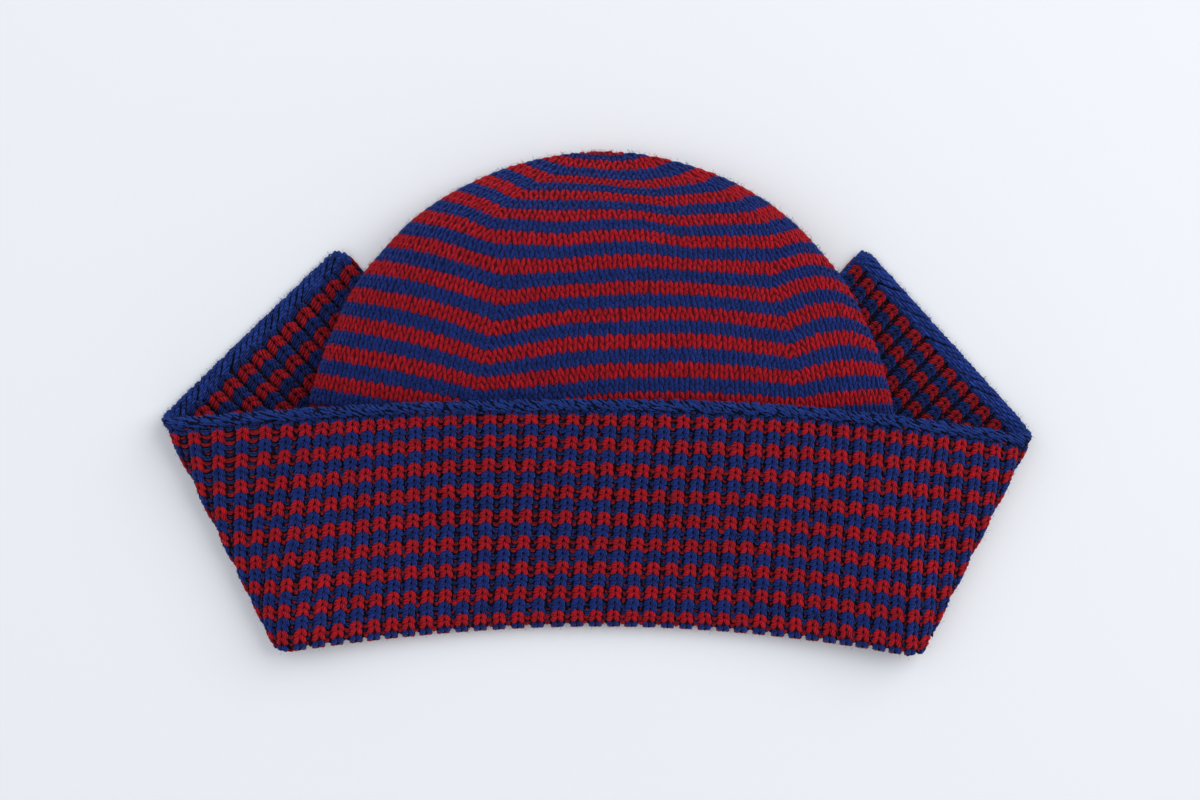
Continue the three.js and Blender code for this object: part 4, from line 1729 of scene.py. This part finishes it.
    def bars(self, face: Face) -> Grains:
        """Bars of yarn across the grooves of one face, sagging away from the free edge.

        A stripe has three bars in a groove, and the one between is of the other wool, as purl stitches show
        at a change of yarn.

        Args:
            face: Which face.

        Returns:
            The grains of the face.
        """
        ends = self.ribbing.ends()
        columns = np.arange(ends[0], ends[1] + 1) + (0.5 if face is Face.OUTER else 0.0)
        stripes = np.arange(-1, self.last_blue_row // self.rows_per_stripe)
        column, stripe, bar = (grid.ravel() for grid in np.meshgrid(
            columns[columns <= ends[1]], stripes, np.arange(len(self.bar_rows)), indexing="ij"))
        first_row, between = self.rows_per_stripe * stripe, bar == self.bar_between
        row = first_row + np.array(self.bar_rows)[bar]
        wool = (self.wool_of(first_row) + between) % len(Wool)
        uneven = np.random.default_rng(self.bar_seed).normal(0, self.bar_unevenness, (4, len(column)))
        slip, swell = self.bar_wander * uneven[2], self.bar_wander * uneven[3]
        places = (row + part for part in (0.0, self.bar_step, slip))
        up, lower, tip = (self.up_at(self.row_length(column, place, face)) for place in places)
        normal = self.normal(column, up) * float(face.value)
        down = unit(self.base(column, lower) - self.base(column, up) + NUDGE)
        rise = self.bar_rise if face is Face.OUTER else self.inner_bar_rise
        height = rise - self.depth(up) + self.skin - self.between_drop * between + swell
        base = normal * height[:, None]
        reach = np.clip(0.5 - self.rib_half / self.pitch(column, up), *self.bar_reach)
        reach = reach * np.where(between, self.between_reach, 1.0)
        left = np.clip(column - reach + uneven[0], *ends)
        right = np.clip(column + reach + uneven[1], *ends)
        half_depth = np.where(between, self.between_half_depth, self.bar_half_depth) * (1 + swell)
        ones = np.ones(len(column))
        return Grains(
            self.base(left, up) + base, self.base(right, tip) + base, unit(self.bar_facing * normal + down),
            ones * self.bar_half_width, half_depth, ones * self.bar_sag, wool)

    def in_sight(self, grains: Grains) -> Grains:
        """Leave out the grains of the inner face that the crown hides, with some to spare.

        Args:
            grains: Grains of the inner face.

        Returns:
            Those that can be seen.
        """
        x, y, z = grains.middle().T
        width = self.form.crown.width(np.clip(y, CROWN_CLIMB[0], CROWN_CLIMB[-1]), side_of(x))
        return grains.only((np.abs(x) > width - self.sight_margin) & (z < self.sight_height))

    def build(self) -> list[bpy.types.Object]:
        """Make the wall, knit columns, bars and hairs.

        Returns:
            The objects, the wall first.
        """
        outer, outer_bars = self.legs(Face.OUTER), self.bars(Face.OUTER)
        inner, inner_bars = self.in_sight(self.legs(Face.INNER)), self.in_sight(self.bars(Face.INNER))
        hairs = self.fuzz.over(Grains.join([outer, inner]))
        # Mean tones: the ribs and grooves inside the fold and the outer grooves are darker, painted shade for
        # the shadow they lie in; the hairs are lighter, a painted highlight of fibres that catch the light;
        # the outer ribs are a little darker.
        pieces = [self.wall(), *build_stitches(self.slot, self.wools, (
            ("flap_ribs", outer, RIB_LEG, 5, -1.0), ("flap_ribs_inside", inner, RIB_LEG, 6, -4.5),
            ("flap_grooves", outer_bars, GROOVE_BAR, 7, -3.5),
            ("flap_grooves_inside", inner_bars, GROOVE_BAR, 8, -4.5), ("flap_fuzz", hairs, HAIR, 32, 2.0)))]
        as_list(pieces[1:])
        return pieces


@dataclass(frozen=True)
class StrandShape:
    """A strand of the edge in millimetres, and how unevenly such strands lie, 1 for the most."""

    half_width: float
    half_depth: float
    loose: float


@dataclass
class FlapEdge:
    """The cast-off edge of the flap: a round core of blue wool, covered with strands.

    On the outer face the strands lie in a chain along the edge. On the inner face they are ridges that
    slant across the border. Lengths are millimetres, inward ones from the free outline, and places along
    the edge are ribs.
    """

    wools: list[Material]
    ground: Material
    form: FlapForm = FlapForm()
    slot: str = "edge_yarn"
    half_width: float = 2.6
    half_thickness: float = 1.9
    gap: float = 0.4
    inside_rise: float = 0.5
    roll_tilt: float = 1.2
    end_share: float = 0.65
    end_rounding: float = 5.0
    right_rounding: float = 1.5
    last_rib_margin: float = 0.02
    core_share: float = 0.8
    core_end_rings: int = 8
    core_rings: int = 190
    core_corners: int = 17
    chain_strand: StrandShape = StrandShape(0.36, 0.42, 1.0)
    link_pitch: float = 0.27
    link_rows: tuple[float, ...] = (-1.5, -0.6, 0.3, 1.2, 2.1, 3.0, 3.9)
    link_reach: float = 0.9
    link_slant: float = 0.29
    link_stagger: float = 0.37
    links_before: float = 1.0
    ridge_strand: StrandShape = StrandShape(0.98, 0.75, 0.25)
    ridge_steps: tuple[float, ...] = (0.0, 2.0, 4.4, 6.6)
    ridge_pitch: tuple[float, float] = (0.43, 0.48)
    ridge_slant: tuple[float, float] = (0.18, 0.28)
    ridges_before: float = 1.4
    end_strand: StrandShape = StrandShape(0.95, 0.75, 0.25)
    selvedge_ribs: tuple[float, ...] = (0.05, 0.2, 0.36)
    selvedge_steps: tuple[float, ...] = (1.0, 4.5, 8.0, 11.5, 15.0, 18.5, 22.0, 25.5, 29.0)
    tip_steps: tuple[float, ...] = (0.4, 2.4, 4.4)
    right_tip_rib: float = 0.52
    strand_axis: float = 0.74
    lap: float = 0.25
    least_lift: float = 0.1
    most_lift: float = 1.3
    least_facing: float = 0.3
    end_reach: tuple[float, float] = (0.1, -0.3)
    stray_ribs: float = 0.06
    stray_slant: float = 0.3
    stray_width: float = 0.12
    stray_lift: float = 0.2
    stray_inward: float = 0.2
    seed_shift: float = 9.0
    seed_scale: float = 100.0
    fuzz: Fuzz = Fuzz(5000, 43)

    def past_end(self, rib: Array) -> Array:
        """How far into the rounded stretch at either end a rib lies, 0 before it and 1 at the end."""
        return np.clip((np.abs(rib) - (self.form.half_ribs - self.end_share)) / self.end_share, 0, 1)

    def border(self, rib: Array, inward: Array, face: Face) -> tuple[Array, Array]:
        """Point on the border where the middle of a strand lies, and its outward normal.

        Over the roll the height follows a half ellipse; past its middle on the way inward it eases to the
        inner rise, so that the border runs on into the panel. The outline is rounded off at the two ends.

        Args:
            rib: Rib number.
            inward: Distance from the free outline; below 0 it runs round to the other face.
            face: Outer or inner face.

        Returns:
            Points and normals.
        """
        last = self.form.half_ribs - self.last_rib_margin
        rib = np.clip(rib, -last, last)
        rounding = np.where(rib < 0, self.end_rounding, self.right_rounding)
        inward = inward + rounding * (1 - np.sqrt(1 - self.past_end(rib) ** 2))
        sign = side_of(inward) * face.value
        depth, roll = np.abs(inward), 2 * self.half_width + self.gap
        up = 1 - np.maximum(depth - roll, 0) / self.form.panel_length
        base, normal = self.form.panel(rib, up), self.form.panel_normal(rib, up)
        onward = self.form.onward(rib, up)
        out = np.maximum(roll - depth, 0)
        part = np.minimum(depth / self.half_width, 1.0)
        height = np.sqrt(1 - (1 - part) ** 2) * self.half_thickness * self.strand_axis
        eased = lerp(height, self.inside_rise, smoothstep(depth, self.half_width, roll))
        height = np.where(depth > self.half_width, eased, height)
        tilt = (1 - part)[:, None] * onward * self.roll_tilt
        point = base + onward * out[:, None] + normal * (sign * height)[:, None]
        return point, unit(normal * sign[:, None] + tilt)

    def strands(self, starts: Array, steps: tuple[float, ...], slant: float, face: Face,
                shape: StrandShape) -> list[Grains]:
        """Strands that cross the border, as grains end to end that lap a little.

        The seed of the unevenness comes from the strand's width and first step.

        Args:
            starts: Rib number at which each strand meets the outline.
            steps: Distances inward at the ends of the grains.
            slant: Ribs along the edge for each millimetre inward.
            face: Outer or inner face.
            shape: Size and unevenness of a strand.

        Returns:
            One set of grains for each step, without those that would stand off at the folds.
        """
        seed = int(self.seed_scale * (shape.half_width + steps[0] + self.seed_shift))
        uneven = np.random.default_rng(seed).normal(0, shape.loose, (4, len(starts)))
        starts, slant = starts + self.stray_ribs * uneven[0], slant * (1 + self.stray_slant * uneven[1])
        half_width = shape.half_width * (1 + self.stray_width * uneven[2])
        half_depth = np.full(len(starts), shape.half_depth)
        blue = np.full(len(starts), Wool.BLUE.value)
        last_rib = self.form.half_ribs + self.end_reach[0] + self.end_reach[1] * shape.loose
        grains = []
        for near, far in zip(steps[:-1], steps[1:]):
            lap = self.lap * (far - near)
            first, second = (place + self.stray_inward * uneven[3] for place in (near - lap, far + lap))
            places = [(starts + slant * inward, inward) for inward in (first, (first + second) / 2, second)]
            (start, _), (centre, normal), (end, _) = (self.border(*place, face) for place in places)
            lift = dot(centre - (start + end) / 2, normal)
            strand = Grains(
                start, end, normal, half_width, half_depth,
                np.maximum(lift, self.least_lift) + self.stray_lift * np.abs(uneven[2]), blue)
            reach = np.maximum(np.abs(places[0][0]), np.abs(places[-1][0]))
            facing_up = normal[:, 2] > self.least_facing * shape.loose
            grains.append(strand.only((lift < self.most_lift) & facing_up & (reach < last_rib)))
        return grains

    def core(self) -> bpy.types.Object:
        """The core: an ellipse carried along the edge, rounded off to a pole at each end.

        Returns:
            The object.
        """
        straight = self.form.half_ribs - self.end_share
        bend = np.linspace(0, 1, self.core_end_rings)[:-1]
        tapered = self.form.half_ribs - self.end_share * (1 - np.cos(bend * math.pi / 2))
        ribs = np.concatenate([-tapered, np.linspace(-straight, straight, self.core_rings), tapered[::-1]])
        fullness = np.sqrt(1 - self.past_end(ribs) ** 2)
        rib, angle = np.meshgrid(ribs, np.linspace(0, TURN, self.core_corners), indexing="ij")
        edge = np.ones_like(rib)
        normal, onward = self.form.panel_normal(rib, edge), self.form.onward(rib, edge)
        drop = (self.end_rounding * (1 - fullness))[:, None, None]
        centre = self.form.panel(rib, edge) + onward * (self.gap + self.half_width - drop)
        size = (fullness * self.core_share)[:, None]
        rings = centre + onward * (self.half_width * size * np.cos(angle))[..., None]
        rings = rings + normal * (self.half_thickness * size * np.sin(angle))[..., None]
        # The core wears the back's painted shade, dark in the gaps between the strands.
        piece = CordPiece("flap_edge_core", "flap_edge", self.slot)
        return piece.build(rings[:, ::-1], np.stack([rib * RIB_STITCHES, angle], -1), self.ground)

    def chain(self) -> list[Grains]:
        """Links of the chain along the outer face, row by row, each row set along by a part of a link.

        Returns:
            The grains of each row.
        """
        half = self.form.half_ribs
        links = np.arange(-half - self.links_before, half, self.link_pitch)
        grains = []
        for number, inward in enumerate(self.link_rows):
            shift = (number * self.link_stagger % 1) * self.link_pitch - self.link_slant * inward
            steps = (inward, inward + self.link_reach)
            grains += self.strands(links + shift, steps, self.link_slant, Face.OUTER, self.chain_strand)
        return grains

    def ridges(self) -> list[Grains]:
        """Ridges across the inner face, and the strands up the flap's ends.

        Returns:
            The grains of each stretch.
        """
        half = self.form.half_ribs
        grains = []
        stretches = zip((-half - self.ridges_before, 0.0), (0.0, half), self.ridge_pitch, self.ridge_slant)
        for first, last, pitch, slant in stretches:
            ridges = np.arange(first, last, pitch)
            grains += self.strands(ridges, self.ridge_steps, slant, Face.INNER, self.ridge_strand)
        selvedge = half - np.array(self.selvedge_ribs)
        tips = np.append(-selvedge, half - self.right_tip_rib)
        for ends, steps in ((selvedge, self.selvedge_steps), (tips, self.tip_steps)):
            grains += self.strands(ends, steps, 0.0, Face.INNER, self.end_strand)
        return grains

    def build(self) -> list[bpy.types.Object]:
        """Make the core, the chain, the ridges and the hairs.

        Returns:
            The objects, the core first.
        """
        chain, ridges = Grains.join(self.chain()), Grains.join(self.ridges())
        hairs = self.fuzz.over(Grains.join([chain, ridges]))
        # Mean tones: the chain is lighter, a painted highlight on the edge's rim; the ridges are darker,
        # painted shade on the folded-under ends; the hairs are lighter, a painted highlight of fibres that
        # catch the light.
        return [self.core(), *build_stitches(self.slot, self.wools, (
            ("flap_edge_chain", chain, EDGE_THREAD, 9, 2.0),
            ("flap_edge_ridges", ridges, EDGE_CORD, 10, -3.5), ("flap_edge_fuzz", hairs, HAIR, 33, 3.0)))]


@dataclass(frozen=True)
class Lamp:
    """A square soft light, in metres and watts, aimed at the hat."""

    name: str
    place: tuple[float, float, float]
    watts: float
    colour: tuple[float, float, float]
    size: float = 2.4

    def build(self) -> None:
        """Add the light to the scene."""
        data = bpy.data.lights.new(self.name, "AREA")
        data.size, data.energy, data.color = self.size, self.watts, self.colour
        lamp = bpy.data.objects.new(self.name, data)
        lamp.location = self.place
        lamp.rotation_euler = (-Vector(self.place)).to_track_quat("-Z", "Y").to_euler()
        bpy.context.scene.collection.objects.link(lamp)


@dataclass
class Studio:
    """Pale table, soft light from the upper right and a camera straight above, in metres."""

    paint: Material
    table_size: float = 8.0
    lamps: tuple[Lamp, ...] = (
        Lamp("window", (1.6, 1.05, 1.6), 40.0, (1.0, 0.985, 0.96)),
        Lamp("fill", (-1.2, 0.2, 1.6), 9.0, (0.93, 0.96, 1.0)))
    room_colour: tuple[float, float, float, float] = (0.92, 0.95, 1.0, 1.0)
    room_strength: float = 0.55
    camera_height: float = 1.0
    view_width: float = 0.5
    view_level: float = 0.010
    sensor_mm: float = 36.0

    def table(self) -> None:
        """Make the table top."""
        half = self.table_size / 2
        corners = [(-half, -half, 0), (half, -half, 0), (half, half, 0), (-half, half, 0)]
        mesh = bpy.data.meshes.new("table")
        mesh.from_pydata(corners, [], [(0, 1, 2, 3)])
        mesh.materials.append(self.paint)
        table = bpy.data.objects.new("table", mesh)
        bpy.context.scene.collection.objects.link(table)

    def room(self) -> None:
        """Light the whole room softly."""
        world = bpy.data.worlds.new("soft_room")
        world.use_nodes = True
        background = world.node_tree.nodes["Background"]
        background.inputs["Color"].default_value = self.room_colour
        background.inputs["Strength"].default_value = self.room_strength
        bpy.context.scene.world = world

    def camera(self) -> None:
        """Hang the camera over the plan's origin, with a lens that shows the view's width at its level."""
        data = bpy.data.cameras.new("camera")
        data.sensor_width = self.sensor_mm
        data.lens = data.sensor_width * (self.camera_height - self.view_level) / self.view_width
        camera = bpy.data.objects.new("camera", data)
        camera.location = (PLAN_ORIGIN[0] * MM, PLAN_ORIGIN[1] * MM, self.camera_height)
        bpy.context.scene.collection.objects.link(camera)
        bpy.context.scene.camera = camera

    def build(self) -> None:
        """Make the table, the lights and the camera."""
        self.table()
        bpy.context.scene.view_settings.view_transform = "Standard"
        for lamp in self.lamps:
            lamp.build()
        self.room()
        self.camera()


# Dyed wool looks soft and matt: its deep and light colours bound the wool's random tone, and the deep one is
# also painted shade in the twist and at the sunk ends, the light one a painted highlight on the crests; a
# pale halo of fibre ends shows at the rim of each stitch.
RED_WOOL = WoolFinish("red_wool_yarn", "#c41b29", "#4c0911", "#d24a55")
BLUE_WOOL = WoolFinish("blue_wool_yarn", "#213484", "#05081c", "#5a7cc8")
# The edge's wool is painted lighter and bluer than the rows, a painted highlight for the light its fuzzy rim
# catches.
LIT_EDGE_WOOL = WoolFinish("blue_edge_wool", "#2d4cae", "#0a1234", "#6f93dc", sheen=0.5)
# The back of the knitting carries painted shade for the stitches' shadow, darker still between the ribs.
SHADED_CROWN_BACK = GroundFinish("wool_knit_back", "#560f19", "#121d48")
SHADED_RIB_BACK = GroundFinish("wool_rib_back", "#2c090f", "#0b112b")
# The table top throws soft light back and shows only the hat's shadow.
TABLE_PAINT = PaintFinish("matt_white_paint", "#f4f6fa")


def main() -> None:
    """Build the hat's pieces in order, then the studio."""
    logging.basicConfig(level=logging.INFO)
    wools = [RED_WOOL.material(), BLUE_WOOL.material()]
    # The backs of the knitting and the edge's core are the wools' colours painted dark: painted shade for the
    # stitches over them.
    shaded_crown_back, shaded_rib_back = SHADED_CROWN_BACK.material(), SHADED_RIB_BACK.material()
    # The edge's blue carries a painted highlight.
    edge_wools = [wools[Wool.RED.value], LIT_EDGE_WOOL.material()]
    for part in (Crown(wools, shaded_crown_back), Flap(wools, shaded_rib_back), FlapEdge(edge_wools, shaded_rib_back)):
        for piece in part.build():
            log.info("%s: %d faces", piece.name, len(piece.data.polygons))
    Studio(TABLE_PAINT.material()).build()


if __name__ == "__main__":
    main()
